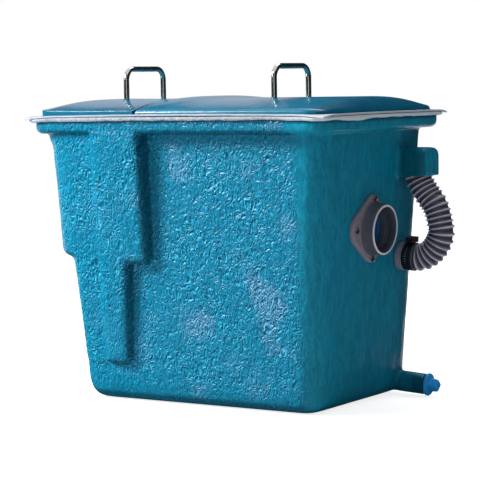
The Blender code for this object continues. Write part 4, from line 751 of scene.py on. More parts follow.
def make_lid(side_name, outer_x, handle_x):
    """Build one lid as a grid bent to its plan, with a skirt and a wall."""
    side = 1 if outer_x > LID_SEAM_X else -1
    seam = LID_SEAM_X + side * LID_SEAM_GAP / 2
    across = [s - LID_Y for s in lid_steps(2 * LID_Y, LID_EDGE[side], LID_EDGE[side], 72)]
    length = abs(outer_x - seam)
    along = [s / length for s in lid_steps(length, LID_SEAM_EDGE[side], LID_EDGE[side], 60)]
    skin = bmesh.new()
    rows = []
    for y in across:
        into_corner = max(abs(y) - (LID_Y - LID_CORNER), 0.0)
        end = LID_CORNER - sqrt(max(LID_CORNER ** 2 - into_corner ** 2, 0.0))
        reach = length - end
        rows.append([skin.verts.new((seam + side * reach * share, y,
                                     lid_height(seam + side * reach * share, y, outer_x, side)))
                     for share in along])
    for low, high in zip(rows, rows[1:]):
        for k in range(len(along) - 1):
            skin.faces.new((low[k], low[k + 1], high[k + 1], high[k]))
    for level in (0.3500, 0.3440, LID_FOOT_Z):
        border = [e for e in skin.edges if e.is_boundary]
        grown = bmesh.ops.extrude_edge_only(skin, edges=border)["geom"]
        for vert in (g for g in grown if isinstance(g, bmesh.types.BMVert)):
            vert.co.z = level
    bmesh.ops.recalc_face_normals(skin, faces=skin.faces)
    mesh = bpy.data.meshes.new(f"{side_name}_crowned_lid")
    skin.to_mesh(mesh)
    skin.free()
    if mesh.polygons[36 * (len(along) - 1) + 20].normal.z < 0:
        mesh.flip_normals()
    lid = add_piece(f"{side_name}_crowned_lid", mesh, lid_coat)
    wall = lid.modifiers.new("wall", "SOLIDIFY")
    wall.thickness = LID_WALL
    wall.offset = -1
    wall.use_even_offset = True
    bake(lid)
    lid.data.shade_smooth()
    lid.data.set_sharp_from_angle(angle=radians(50))
    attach(lid, "trap")
    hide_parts(f"{side_name}_lid")
    return lid


make_lid("left", -LID_X, HANDLE_PLACES["left"])
make_lid("right", LID_X, HANDLE_PLACES["right"])


# Lid handles. 7 mm polished stainless rod, bent cold to a staple. Each leg goes through its lid
# and is held under it by a washer and a nut on a cut thread.
ROD_RADIUS = 0.0035
HANDLE_BEND = 0.014
HANDLE_TOP_Z = 0.4084

# Polished 304 stainless: near mirror, drawn slightly along the rod
stainless, tree, shader, where = new_material("polished_stainless", Metallic=1.0)
drawn = add_node(tree, "ShaderNodeMapping", None, {"Vector": where, "Scale": (1.0, 1.0, 0.08)})
lines = add_node(tree, "ShaderNodeTexNoise", None, {"Vector": drawn, "Scale": 1500.0, "Detail": 2.0})
tone = add_node(tree, "ShaderNodeMix", BLEND,
                {"Factor": lines.outputs["Fac"], 6: srgb("#B9B4AE"), 7: srgb("#DAD6D2")})
gloss = add_node(tree, "ShaderNodeMapRange", None,
                 {"Value": lines.outputs["Fac"], "From Min": 0.3, "From Max": 0.7,
                  "To Min": 0.10, "To Max": 0.20})
set_inputs(tree, shader, {"Base Color": tone.outputs[2], "Roughness": gloss})


def make_handle(side_name, x):
    """Sweep one bent rod, with a fine thread cut on both lower ends."""
    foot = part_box(f"{side_name}_handle")[0].z
    path = []
    level = foot
    while level < foot + 0.0130:
        path.append((-HANDLE_HALF, level, ROD_RADIUS - 0.0001))
        path.append((-HANDLE_HALF, level + 0.0005, ROD_RADIUS - 0.0006))
        level += 0.0010
    path.append((-HANDLE_HALF, level + 0.0005, ROD_RADIUS))
    path += [(-HANDLE_HALF, z, ROD_RADIUS) for z in (0.372, 0.384, HANDLE_TOP_Z - HANDLE_BEND)]
    for step in range(1, 15):
        turn = pi / 2 * step / 14
        path.append((-HANDLE_HALF + HANDLE_BEND * (1 - cos(turn)),
                     HANDLE_TOP_Z - HANDLE_BEND * (1 - sin(turn)), ROD_RADIUS))
    path += [(y, HANDLE_TOP_Z, ROD_RADIUS) for y in (-0.018, -0.009, 0.0)]
    path += [(-y, z, r) for y, z, r in reversed(path[:-1])]
    rings = []
    for k, (y, z, radius) in enumerate(path):
        before = path[max(k - 1, 0)]
        after = path[min(k + 1, len(path) - 1)]
        way = Vector((0, after[0] - before[0], after[1] - before[1])).normalized()
        out = way.cross(Vector((1, 0, 0)))
        rings.append([Vector((x, y, z))
                      + radius * (cos(2 * pi * i / 24) * Vector((1, 0, 0)) + sin(2 * pi * i / 24) * out)
                      for i in range(24)])
    rod = loft(f"{side_name}_bent_rod", rings, stainless, caps=True)
    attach(rod, "trap")
    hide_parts(f"{side_name}_handle")


def finish_nodes(material, names):
    """Give a material to solids that show as they are."""
    for name in names:
        nodes[name].data.materials.clear()
        nodes[name].data.materials.append(material)


for side_name, x in HANDLE_PLACES.items():
    make_handle(side_name, x)
finish_nodes(stainless, [n for n in nodes if n.endswith("_washer") or n.endswith("_nut") and "handle" in n])


# Pipe fittings. Grey PVC sockets with a rounded rhombic flange, one on each end wall, glued and
# held by four slotted screws. A blue pipe is glued in each and shows deep in the mouth.
OUTLET_Z = 0.2135
INLET_Z = 0.264
HUB_ROOT = 0.0318
HUB_MOUTH = 0.0300
HUB_BORE = 0.0273
PIPE_RADIUS = 0.024
PIPE_WALL = 0.0025
TANK_WALL = 0.0045
OUTLET_FOOT_X = 0.1731
OUTLET_LEAN = (0.0204, 0.3305)
CHAMBER_X = -0.195
CHAMBER_SHELF_Z = 0.178
CHAMBER_LEAN = (0.0075, 0.1525)
EARS = [((0, 0.0305), 0.019), ((0, -0.0305), 0.019), ((0.026, 0), 0.015), ((-0.026, 0), 0.015)]
SCREW_PLACES = ((0.0405, 0.0), (0.0, 0.036), (-0.0405, 0.0), (0.0, -0.036))
SCREW_SEAT = 0.0055


def wall_frame(x, y, z, tilt):
    """Give the matrix that stands a piece on an end wall, its Z axis out of the wall."""
    return Matrix.Translation((x, y, z)) @ Matrix.Rotation(tilt, 4, "Y")


def outlet_wall(y, z):
    """Give the frame of a place on the outlet end wall."""
    lean, rise = OUTLET_LEAN
    return wall_frame(OUTLET_FOOT_X + lean * z / rise, y, z, pi / 2 + atan2(lean, rise))


inlet_x = CHAMBER_X - CHAMBER_LEAN[0] * (INLET_Z - CHAMBER_SHELF_Z) / CHAMBER_LEAN[1]
inlet_frame = wall_frame(inlet_x, 0, INLET_Z, -(pi / 2 + atan2(*CHAMBER_LEAN)))

# Moulded grey PVC, aged: a dark socket, a paler mouth, and a flange browned by resin wiped
# off the screws. Deep in the bore it goes dark grey, which is painted shade
fitting_pvc, tree, shader, where = new_material("grey_pvc_fitting", IOR=1.53)
zone = add_node(tree, "ShaderNodeAttribute", {"attribute_name": "zone"})
grime = add_node(tree, "ShaderNodeTexNoise", None,
                 {"Vector": where, "Scale": 170.0, "Detail": 5.0, "Roughness": 0.65})
bands = add_node(tree, "ShaderNodeValToRGB", None, {"Fac": zone.outputs["Fac"]})
# The zones from 0.84 on, deep in the bore, are painted shade
paint_ramp(bands, (0.0, "#8E8491"), (0.30, "#857C89"), (0.36, "#5C5A66"), (0.60, "#50505E"),
           (0.68, "#E8E3E8"), (0.78, "#DAD4DA"), (0.84, "#4C5464"), (1.0, "#39414E"))
worn = add_node(tree, "ShaderNodeMix", {"data_type": "RGBA", "blend_type": "OVERLAY"},
                {"Factor": 0.45, 6: bands.outputs["Color"], 7: grime.outputs["Color"]})
set_inputs(tree, shader, {"Base Color": worn.outputs[2]})
roughen(tree, shader, grime.outputs["Fac"], 0.30, 0.62, (0.4, 0.0005))

# Extruded blue pressure pipe: smooth, satin, with faint drawing lines. Its end in the outlet fitting is
# painted dark grey: painted shade in the mouth
pipe_pvc, tree, shader, where = new_material("blue_pvc", IOR=1.53)
scuff = add_node(tree, "ShaderNodeTexNoise", None, {"Vector": where, "Scale": 210.0, "Detail": 4.0})
tone = add_node(tree, "ShaderNodeMix", BLEND,
                {"Factor": scuff.outputs["Fac"], 6: srgb("#125F9E"), 7: srgb("#2A83C6")})
along = add_node(tree, "ShaderNodeSeparateXYZ", None, {0: where})
# Painted shade: the pipe's end in the outlet mouth goes dark grey
glued = add_node(tree, "ShaderNodeMapRange", SMOOTH,
                 {"Value": along.outputs["X"], "From Min": 0.1870, "From Max": 0.1884})
pipe_end_shade = add_node(tree, "ShaderNodeMix", BLEND, {"Factor": glued, 6: tone.outputs[2], 7: srgb("#434C5A")})
set_inputs(tree, shader, {"Base Color": pipe_end_shade.outputs[2]})
roughen(tree, shader, scuff.outputs["Fac"], 0.22, 0.45, (0.2, 0.0003))


def circle(radius, z, steps=96):
    """Give one ring of a turned piece on its own Z axis."""
    turns = np.arange(steps) * 2 * pi / steps
    return np.c_[radius * np.cos(turns), radius * np.sin(turns), np.full(steps, z)]


def flange_ring(inset, z, steps=96):
    """Give the hull of the four ears as a ring, pulled in by an inset."""
    turns = np.linspace(0, 2 * pi, 2000, endpoint=False)
    ways = np.c_[np.cos(turns), np.sin(turns)]
    reach = np.array([ways @ np.array(c) + r for c, r in EARS])
    best = reach.argmax(axis=0)
    edge = np.array([np.array(EARS[b][0]) + (EARS[b][1] - inset) * way for b, way in zip(best, ways)])
    around = np.unwrap(np.arctan2(edge[:, 1], edge[:, 0]))
    wanted = np.arange(steps) * 2 * pi / steps
    period = np.r_[around - 2 * pi, around, around + 2 * pi]
    return np.c_[[np.interp(wanted, period, np.tile(edge[:, k], 3)) for k in (0, 1)]].T @ np.eye(2, 3) \
        + np.array((0, 0, z))


def place_rings(rings, matrix):
    """Carry rings from a piece's own frame to the tank's."""
    turn = np.array(matrix)
    return [np.asarray(ring) @ turn[:3, :3].T + turn[:3, 3] for ring in rings]


def paint_zones(piece, values, per_ring):
    """Store one number for each ring of a loft, for its material to read."""
    store = piece.data.attributes.new("zone", "FLOAT", "POINT")
    store.data.foreach_set("value", np.repeat(values, per_ring).astype(np.float32))


def make_fitting(end, matrix):
    """Loft one fitting from the flange's edge, over the hub and its mouth, to the pipe seat."""
    stages = [(flange_ring(inset, z), zone) for inset, z, zone in (
        (0.0, 0.0003, 0.05), (0.0, 0.0032, 0.05), (0.0005, 0.0045, 0.1), (0.0017, 0.0053, 0.15),
        (0.004, 0.0053, 0.2))]
    for share, z in ((0.35, 0.0053), (0.7, 0.0053), (0.92, 0.0054)):
        ring = flange_ring(0.004, z) * (1 - share) + circle(HUB_ROOT + 0.0022, z) * share
        stages.append((ring, 0.25))
    stages += [(circle(radius, z), zone) for radius, z, zone in (
        (HUB_ROOT + 0.0020, 0.0055, 0.28), (HUB_ROOT + 0.0007, 0.0062, 0.33),
        (HUB_ROOT + 0.0001, 0.0078, 0.40), (HUB_ROOT - 0.0007, 0.0120, 0.50),
        (HUB_MOUTH + 0.0003, 0.0190, 0.58), (HUB_MOUTH, 0.0206, 0.62),
        (HUB_MOUTH - 0.0003, 0.0216, 0.69), (HUB_MOUTH - 0.0009, 0.0220, 0.74),
        (HUB_BORE + 0.0009, 0.0220, 0.76), (HUB_BORE + 0.0003, 0.0216, 0.80),
        (HUB_BORE, 0.0206, 0.86), (HUB_BORE - 0.0002, 0.0125, 1.0),
        (PIPE_RADIUS + 0.0006, 0.0120, 1.0), (PIPE_RADIUS + 0.0003, 0.0116, 1.0),
        (PIPE_RADIUS + 0.0003, 0.0003, 1.0))]
    rings = place_rings([ring for ring, _ in stages], matrix)
    fitting = loft(f"{end}_flanged_fitting", rings, fitting_pvc, loop=True)
    paint_zones(fitting, [zone for _, zone in stages], 96)
    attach(fitting, "trap")
    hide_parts(f"{end}_fitting")
    inside = -TANK_WALL - 0.030
    profile = [(PIPE_RADIUS, inside), (PIPE_RADIUS, 0.0093), (PIPE_RADIUS - 0.0004, 0.0099),
               (PIPE_RADIUS - PIPE_WALL + 0.0004, 0.0100), (PIPE_RADIUS - PIPE_WALL, 0.0094),
               (PIPE_RADIUS - PIPE_WALL, inside)]
    rings = place_rings([circle(r, z, 64) for r, z in profile], matrix)
    pipe = loft(f"{end}_glued_pipe", rings, pipe_pvc, loop=True)
    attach(pipe, "trap")
    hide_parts(f"{end}_pipe")


outlet_frame = outlet_wall(0, OUTLET_Z)
make_fitting("outlet", outlet_frame)
make_fitting("inlet", inlet_frame)


def cut_slot(body, size, place):
    """Cut one straight slot across a screw's head."""
    mesh = bpy.data.meshes.new("screw_blade")
    blade = bmesh.new()
    bmesh.ops.create_cube(blade, size=1.0)
    bmesh.ops.scale(blade, vec=size, verts=blade.verts)
    bmesh.ops.translate(blade, vec=place, verts=blade.verts)
    blade.to_mesh(mesh)
    blade.free()
    cutter = add_piece("screw_blade", mesh)
    slot = body.modifiers.new("slot", "BOOLEAN")
    slot.object = cutter
    slot.solver = "EXACT"
    bake(body)
    bpy.data.objects.remove(cutter, do_unlink=True)
    body.data.shade_smooth()
    body.data.set_sharp_from_angle(angle=radians(35))


def slotted_screw():
    """Model one slotted pan-head screw on its own Z axis, its seat at z = 0."""
    profile = [(0.00005, -0.0105), (0.0016, -0.0092), (0.0021, -0.0080), (0.0021, 0.0), (0.0036, 0.0001),
               (0.0036, 0.0010), (0.0033, 0.0018), (0.0025, 0.0023), (0.0014, 0.0025), (0.00005, 0.0026)]
    mesh = bpy.data.meshes.new("slotted_screw")
    screw = bmesh.new()
    rows = [[screw.verts.new(p) for p in circle(r, z, 20)] for r, z in profile]
    for low, high in zip(rows, rows[1:]):
        for k in range(20):
            screw.faces.new((low[k], low[(k + 1) % 20], high[(k + 1) % 20], high[k]))
    screw.faces.new(list(reversed(rows[0])))
    screw.faces.new(rows[-1])
    screw.to_mesh(mesh)
    screw.free()
    body = add_piece("slotted_screw", mesh)
    cut_slot(body, (0.0009, 0.010, 0.0026), (0, 0, 0.0027))
    return body


def new_group(name, inputs, output):
    """Make a Geometry Nodes tree with named inputs, each of a kind and with a value or None."""
    group = bpy.data.node_groups.new(name, "GeometryNodeTree")
    for label, kind, value in inputs:
        socket = group.interface.new_socket(label, in_out="INPUT", socket_type=f"NodeSocket{kind}")
        if value is not None:
            socket.default_value = value
    group.interface.new_socket(output, in_out="OUTPUT", socket_type="NodeSocketGeometry")
    return group, group.nodes.new("NodeGroupInput").outputs


def use_group(piece, label, group, values):
    """Put a tree on a piece as a modifier, with its inputs set by their names."""
    modifier = piece.modifiers.new(label, "NODES")
    modifier.node_group = group
    sockets = {i.name: i.identifier for i in group.interface.items_tree if i.in_out == "INPUT"}
    for name, value in values.items():
        modifier[sockets[name]] = value


def screw_tree():
    """Build the tree that sets one screw on every point, each turned to where it was left."""
    group, given = new_group("set_screws", (("Points", "Geometry", None), ("Screw", "Object", None),
                                            ("Size", "Float", 1.0), ("Largest Turn", "Float", 3.0),
                                            ("Finish", "Material", None)), "Screws")
    model = add_node(group, "GeometryNodeObjectInfo", None, {"Object": given["Screw"]})
    turn = add_node(group, "FunctionNodeRandomValue", {"data_type": "FLOAT"},
                    {"Min": 0.0, "Max": given["Largest Turn"], "Seed": 4})
    spin = add_node(group, "ShaderNodeCombineXYZ", None, {"Z": turn.outputs[1]})
    each = add_node(group, "GeometryNodeInstanceOnPoints", None,
                    {"Points": given["Points"], "Instance": model.outputs["Geometry"],
                     "Rotation": spin, "Scale": given["Size"]})
    real = add_node(group, "GeometryNodeRealizeInstances", None, {"Geometry": each})
    painted = add_node(group, "GeometryNodeSetMaterial", None,
                       {"Geometry": real, "Material": given["Finish"]})
    add_node(group, "NodeGroupOutput", None, {0: painted})
    return group


screw_model = slotted_screw()
screw_group = screw_tree()
for end, matrix in (("outlet", outlet_frame), ("inlet", inlet_frame)):
    dots = bpy.data.meshes.new(f"{end}_screws")
    dots.from_pydata([(up, across, SCREW_SEAT) for across, up in SCREW_PLACES], [], [])
    screws = add_piece(f"{end}_screws", dots)
    use_group(screws, "screws", screw_group,
              {"Screw": screw_model, "Size": 1.0, "Largest Turn": 3.0, "Finish": stainless})
    bake(screws)
    screws.data.transform(matrix)
    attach(screws, "trap")
    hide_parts(*[f"{end}_screw_{number}" for number in (1, 2, 3, 4)])
bpy.data.objects.remove(screw_model, do_unlink=True)


# Tee, drop pipe, baffle and basket. They stand inside the tank: blue PVC pipe parts, a folded
# plate of the tank's own laminate, and a moulded polypropylene basket with slots.
finish_nodes(pipe_pvc, ("outlet_tee", "outlet_drop_pipe"))
finish_nodes(gelcoat, ("baffle",))

# Moulded polypropylene: milky pale grey, waxy, with a fine spark-eroded grain
basket_pp, tree, shader, where = new_material("moulded_polypropylene", IOR=1.49, Subsurface_Weight=0.08)
grain = add_node(tree, "ShaderNodeTexNoise", None, {"Vector": where, "Scale": 1600.0, "Detail": 2.0})
cloud = add_node(tree, "ShaderNodeTexNoise", None, {"Vector": where, "Scale": 25.0, "Detail": 3.0})
tone = add_node(tree, "ShaderNodeMix", BLEND,
                {"Factor": cloud.outputs["Fac"], 6: srgb("#A3A7A9"), 7: srgb("#BCBFC0")})
set_inputs(tree, shader, {"Base Color": tone.outputs[2]})
roughen(tree, shader, grain.outputs["Fac"], 0.42, 0.60, (0.25, 0.0002))
finish_nodes(basket_pp, ("strainer_basket",))


# Hose tail and its nut. A pale grey PVC spigot through the end wall, with a collar outside and a
# hexagon nut inside. The hose is pushed over it.
HOSE_Y = 0.0805
HOSE_WALL_Z = 0.1745
TAIL_RADIUS = 0.0127
TAIL_BORE = 0.0100
TAIL_COLLAR = 0.0175

# Moulded light grey PVC: satin, faintly mottled with handling
tail_pvc = mottled("light_grey_pvc", (260.0, 4.0), ("#6C6B7C", "#9A98AA"), (0.35, 0.55), (0.2, 0.0003),
                   IOR=1.53)

tail_frame = outlet_wall(HOSE_Y, HOSE_WALL_Z)
low = -TANK_WALL - 0.006 - 0.004
profile = [(TAIL_RADIUS, low + 0.0004), (TAIL_RADIUS, 0.0003), (TAIL_COLLAR - 0.0006, 0.0003),
           (TAIL_COLLAR, 0.0009), (TAIL_COLLAR, 0.0063), (TAIL_COLLAR - 0.0008, 0.0071),
           (TAIL_RADIUS, 0.0071), (TAIL_RADIUS, 0.0232), (TAIL_RADIUS - 0.0008, 0.0240),
           (TAIL_BORE, 0.0240), (TAIL_BORE, low), (TAIL_RADIUS - 0.0004, low)]
rings = place_rings([circle(r, z, 64) for r, z in profile], tail_frame)
tail = loft("hose_spigot", rings, tail_pvc, loop=True)
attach(tail, "trap")
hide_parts("hose_tail")
finish_nodes(tail_pvc, ("hose_tail_nut",))


# Hose. A corrugated PVC drain hose, 34 mm outside, with raised annular ribs 6.4 mm apart and smooth
# valleys. It is clamped on the spigot, bows outward and is pushed up into the holder.
HOSE_CREST = 0.0169
HOSE_ROOT = 0.0145
HOSE_BORE = 0.0131
HOSE_CUFF = 0.0170
HOSE_CUFF_RADIUS = 0.0162
HOSE_PITCH = 0.0064
HOLDER_Z = 0.272
HOSE_TOP_X = 0.20985

# Plasticised PVC: grey with a lavender cast, satin, a painted highlight along the crests and painted shade
# between
hose_pvc, tree, shader, where = new_material("corrugated_pvc_hose", IOR=1.53)
rib = add_node(tree, "ShaderNodeAttribute", {"attribute_name": "rib"})
dust = add_node(tree, "ShaderNodeTexNoise", None,
                {"Vector": where, "Scale": 300.0, "Detail": 4.0, "Roughness": 0.6})
bands = add_node(tree, "ShaderNodeValToRGB", None, {"Fac": rib.outputs["Fac"]})
# Painted light: pale on the crests, dark in the valleys
paint_ramp(bands, (0.0, "#42414D"), (0.20, "#6C6A7B"), (0.60, "#8F8CA2"), (1.0, "#DCDAE4"))
dusty = add_node(tree, "ShaderNodeMix", {"data_type": "RGBA", "blend_type": "OVERLAY"},
                 {"Factor": 0.35, 6: bands.outputs["Color"], 7: dust.outputs["Color"]})
set_inputs(tree, shader, {"Base Color": dusty.outputs[2]})
roughen(tree, shader, dust.outputs["Fac"], 0.32, 0.55, (0.25, 0.0003))


def hose_line():
    """Give the hose's centre line as a curve: the same knots as the solid's."""
    wall = tail_frame.translation
    out = tail_frame.to_3x3() @ Vector((0, 0, 1))
    rise = HOLDER_Z - HOSE_WALL_Z
    knots = [(wall + out * 0.0074, out * 0.006), (wall + out * 0.0258, out * 0.0146),
             (Vector((wall.x + 0.0563, HOSE_Y, HOSE_WALL_Z + rise * 0.359)), Vector((-0.003, 0, 0.0174))),
             (Vector((HOSE_TOP_X + 0.0183, HOSE_Y, HOLDER_Z - rise * 0.297)), Vector((-0.0049, 0, 0.0053))),
             (Vector((HOSE_TOP_X, HOSE_Y, HOLDER_Z + 0.0009)), Vector((-0.0013, 0, 0.008))),
             (Vector((HOSE_TOP_X - 0.0006, HOSE_Y, HOLDER_Z + 0.012)), Vector((0, 0, 0.003)))]
    curve = bpy.data.curves.new("hose_line", "CURVE")
    curve.dimensions = "3D"
    curve.resolution_u = 24
    spline = curve.splines.new("BEZIER")
    spline.bezier_points.add(len(knots) - 1)
    for point, (place, handle) in zip(spline.bezier_points, knots):
        point.co = place
        point.handle_left = place - handle
        point.handle_right = place + handle
    return curve


def hose_tree():
    """Build the tree that sweeps a ribbed wall along a curve, with its bore and square-cut ends."""
    group, given = new_group("corrugate_hose", (
        ("Line", "Geometry", None), ("Crest Radius", "Float", HOSE_CREST),
        ("Root Radius", "Float", HOSE_ROOT), ("Pitch", "Float", HOSE_PITCH),
        ("Crest Share", "Float", 0.36), ("Cuff Length", "Float", HOSE_CUFF),
        ("Cuff Radius", "Float", HOSE_CUFF_RADIUS), ("Bore Radius", "Float", HOSE_BORE),
        ("Step", "Float", 0.0004), ("Finish", "Material", None)), "Hose")
    fine = add_node(group, "GeometryNodeResampleCurve", {"mode": "LENGTH"},
                    {"Curve": given["Line"], "Length": given["Step"]})
    along = add_node(group, "GeometryNodeSplineParameter").outputs["Length"]
    past_cuff = add_node(group, "ShaderNodeMath", MINUS, {0: along, 1: given["Cuff Length"]})
    turns = add_node(group, "ShaderNodeMath", {"operation": "DIVIDE"}, {0: past_cuff, 1: given["Pitch"]})
    share = add_node(group, "ShaderNodeMath", {"operation": "FRACT"}, {0: turns})
    centred = add_node(group, "ShaderNodeMath", MINUS, {0: share, 1: 0.5})
    away = add_node(group, "ShaderNodeMath", SIZE_OF, {0: centred})
    rise = add_node(group, "ShaderNodeMapRange", {"interpolation_type": "LINEAR"},
                    {"Value": away, "From Min": given["Crest Share"], "From Max": 0.03})
    cusp = add_node(group, "ShaderNodeMath", {"operation": "POWER"}, {0: rise, 1: 1.7})
    ribbed = add_node(group, "ShaderNodeMapRange", None,
                      {"Value": cusp, "To Min": given["Root Radius"], "To Max": given["Crest Radius"]})
    off_cuff = add_node(group, "ShaderNodeMath", {"operation": "GREATER_THAN"}, {0: past_cuff, 1: 0.0})
    radius = add_node(group, "ShaderNodeMix", WEIGH, {0: off_cuff, 2: given["Cuff Radius"], 3: ribbed})
    ends = add_node(group, "GeometryNodeCurveEndpointSelection", None, {"Start Size": 1, "End Size": 1})
    closed = add_node(group, "ShaderNodeMix", WEIGH, {0: ends, 2: radius, 3: given["Bore Radius"]})
    mark = add_node(group, "GeometryNodeStoreNamedAttribute", {"data_type": "FLOAT", "domain": "POINT"},
                    {"Geometry": fine, "Name": "rib", "Value": cusp})
    ring = add_node(group, "GeometryNodeCurvePrimitiveCircle", None, {"Resolution": 56, "Radius": 1.0})
    skins = []
    for reach in (closed.outputs[0], given["Bore Radius"]):
        sized = add_node(group, "GeometryNodeSetCurveRadius", None, {"Curve": mark, "Radius": reach})
        skin = add_node(group, "GeometryNodeCurveToMesh", None, {"Curve": sized, "Profile Curve": ring})
        if "Scale" in skin.inputs:
            group.links.new(reach, skin.inputs["Scale"])
        skins.append(skin)
    turned = add_node(group, "GeometryNodeFlipFaces", None, {"Mesh": skins[1].outputs[0]})
    joined = add_node(group, "GeometryNodeJoinGeometry")
    group.links.new(skins[0].outputs[0], joined.inputs[0])
    group.links.new(turned.outputs[0], joined.inputs[0])
    welded = add_node(group, "GeometryNodeMergeByDistance", None, {"Geometry": joined, "Distance": 0.00002})
    real = add_node(group, "GeometryNodeRealizeInstances", None, {"Geometry": welded})
    painted = add_node(group, "GeometryNodeSetMaterial", None,
                       {"Geometry": real, "Material": given["Finish"]})
    add_node(group, "NodeGroupOutput", None, {0: painted})
    return group


hose = bpy.data.objects.new("hose_line", hose_line())
bpy.context.scene.collection.objects.link(hose)
use_group(hose, "corrugate", hose_tree(), {"Finish": hose_pvc})
graph = bpy.context.evaluated_depsgraph_get()
hose_mesh = bpy.data.meshes.new_from_object(hose.evaluated_get(graph))
bpy.data.objects.remove(hose, do_unlink=True)
wall = bmesh.new()
wall.from_mesh(hose_mesh)
bmesh.ops.recalc_face_normals(wall, faces=wall.faces)
wall.to_mesh(hose_mesh)
wall.free()
hose_mesh.shade_smooth()
ribbed_hose = add_piece("ribbed_drain_hose", hose_mesh)
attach(ribbed_hose, "trap")
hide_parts("drain_hose")


# Worm clamp. A blackened steel band with worm slots round the hose's cuff, a copper-brown housing
# on the side that faces up the wall, and a slotted worm screw across it.
BAND_FROM = 0.0094
BAND_WIDTH = 0.0127
BAND_INNER = 0.0165
BAND_OUTER = 0.0174
WORM_X = -0.0215
WORM_RADIUS = 0.0028
WORM_PITCH = 0.0024
HOUSING_HALF = 0.007

# Spring steel with a black chemical finish: half metal, half oxide, worn to grey in spots
band_steel = mottled("blackened_steel_band", (500.0, 3.0), ("#141418", "#3B3B42"), (0.32, 0.50),
                     Metallic=0.6, IOR=1.6)

# Steel with a copper-coloured plating, gone brown: bright on the corners, stained on the flats
housing_copper = mottled("copper_plated_steel", (420.0, 4.0), ("#5B3B2C", "#A9775A"), (0.22, 0.50),
                         Metallic=0.85)


def slot_tree():
    """Build the tree that cuts evenly spaced slots through a band round the Z axis."""
    group, given = new_group("cut_worm_slots", (
        ("Band", "Geometry", None), ("Slots", "Int", 34),
        ("Radius", "Float", 0.5 * (BAND_INNER + BAND_OUTER)),
        ("Level", "Float", BAND_FROM + 0.5 * BAND_WIDTH), ("Slot Size", "Vector", (0.004, 0.0012, 0.0066)),
        ("Finish", "Material", None)), "Cut Band")
    dots = add_node(group, "GeometryNodeMeshCircle", None,
                    {"Vertices": given["Slots"], "Radius": given["Radius"]})
    step = add_node(group, "ShaderNodeMath", {"operation": "DIVIDE"}, {0: 2 * pi, 1: given["Slots"]})
    index = add_node(group, "GeometryNodeInputIndex")
    angle = add_node(group, "ShaderNodeMath", TIMES, {0: index, 1: step})
    turn = add_node(group, "ShaderNodeCombineXYZ", None, {"Z": angle})
    punch = add_node(group, "GeometryNodeMeshCube", None, {"Size": given["Slot Size"]})
    each = add_node(group, "GeometryNodeInstanceOnPoints", None,
                    {"Points": dots, "Instance": punch, "Rotation": turn})
    real = add_node(group, "GeometryNodeRealizeInstances", None, {"Geometry": each})
    lift = add_node(group, "ShaderNodeCombineXYZ", None, {"Z": given["Level"]})
    raised = add_node(group, "GeometryNodeTransform", None, {"Geometry": real, "Translation": lift})
    cut = add_node(group, "GeometryNodeMeshBoolean", {"operation": "DIFFERENCE", "solver": "EXACT"},
                   {"Mesh 1": given["Band"], "Mesh 2": raised})
    painted = add_node(group, "GeometryNodeSetMaterial", None,
                       {"Geometry": cut, "Material": given["Finish"]})
    add_node(group, "NodeGroupOutput", None, {0: painted})
    return group


top = BAND_FROM + BAND_WIDTH
profile = [(BAND_INNER, BAND_FROM + 0.0001), (BAND_INNER + 0.0001, BAND_FROM),
           (BAND_OUTER - 0.0002, BAND_FROM),
           (BAND_OUTER, BAND_FROM + 0.0002), (BAND_OUTER, top - 0.0002), (BAND_OUTER - 0.0002, top),
           (BAND_INNER + 0.0001, top), (BAND_INNER, top - 0.0001)]
band = loft("slotted_clamp_band", [circle(r, z, 136) for r, z in profile], band_steel, loop=True)
use_group(band, "slots", slot_tree(), {"Finish": band_steel})
bake(band)
band.data.transform(tail_frame)
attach(band, "trap")
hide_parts("clamp_band")

housing = add_piece("clamp_worm_housing", nodes["clamp_housing"].data.copy(), housing_copper)
soften = housing.modifiers.new("soft_edges", "BEVEL")
soften.width = 0.0007
soften.segments = 3
soften.limit_method = "ANGLE"
soften.angle_limit = radians(50)
soften.harden_normals = True
bake(housing)
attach(housing, "trap")
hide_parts("clamp_housing")


def thread_wave(z, pitch, steps):
    """Give 0 to 1 round a circle at one height of a thread, 0 on its crest and 1 in its groove."""
    turns = np.arange(steps) * 2 * pi / steps
    return np.abs(((z / pitch - turns / (2 * pi)) % 1) - 0.5) * 2


# The worm's thread shows in the housing's open side, and its head is round and slotted
rings = []
low, high = -HOUSING_HALF + 0.0004, HOUSING_HALF + 0.0010
for k in range(73):
    z = low + (high - low) * k / 72
    wave = thread_wave(z, WORM_PITCH, 32)
    radius = WORM_RADIUS - 0.0001 - 0.0006 * wave * min(k, 72 - k, 6) / 6
    rings.append(circle(radius, z, 32))
head = [(0.0026, -0.0069), (0.0035, -0.0073), (0.0037, -0.0076), (0.0037, -0.0109), (0.0033, -0.0115)]
rings = [circle(r, z, 32) for r, z in reversed(head)] + rings
worm = loft("clamp_worm_screw", rings, band_steel, caps=True)
cut_slot(worm, (0.009, 0.0010, 0.0024), (0, 0, -0.0115))
worm.data.transform(tail_frame @ Matrix.Translation((WORM_X, 0, BAND_FROM + BAND_WIDTH / 2))
                    @ Matrix.Rotation(-pi / 2, 4, "X"))
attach(worm, "trap")
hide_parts("clamp_screw")


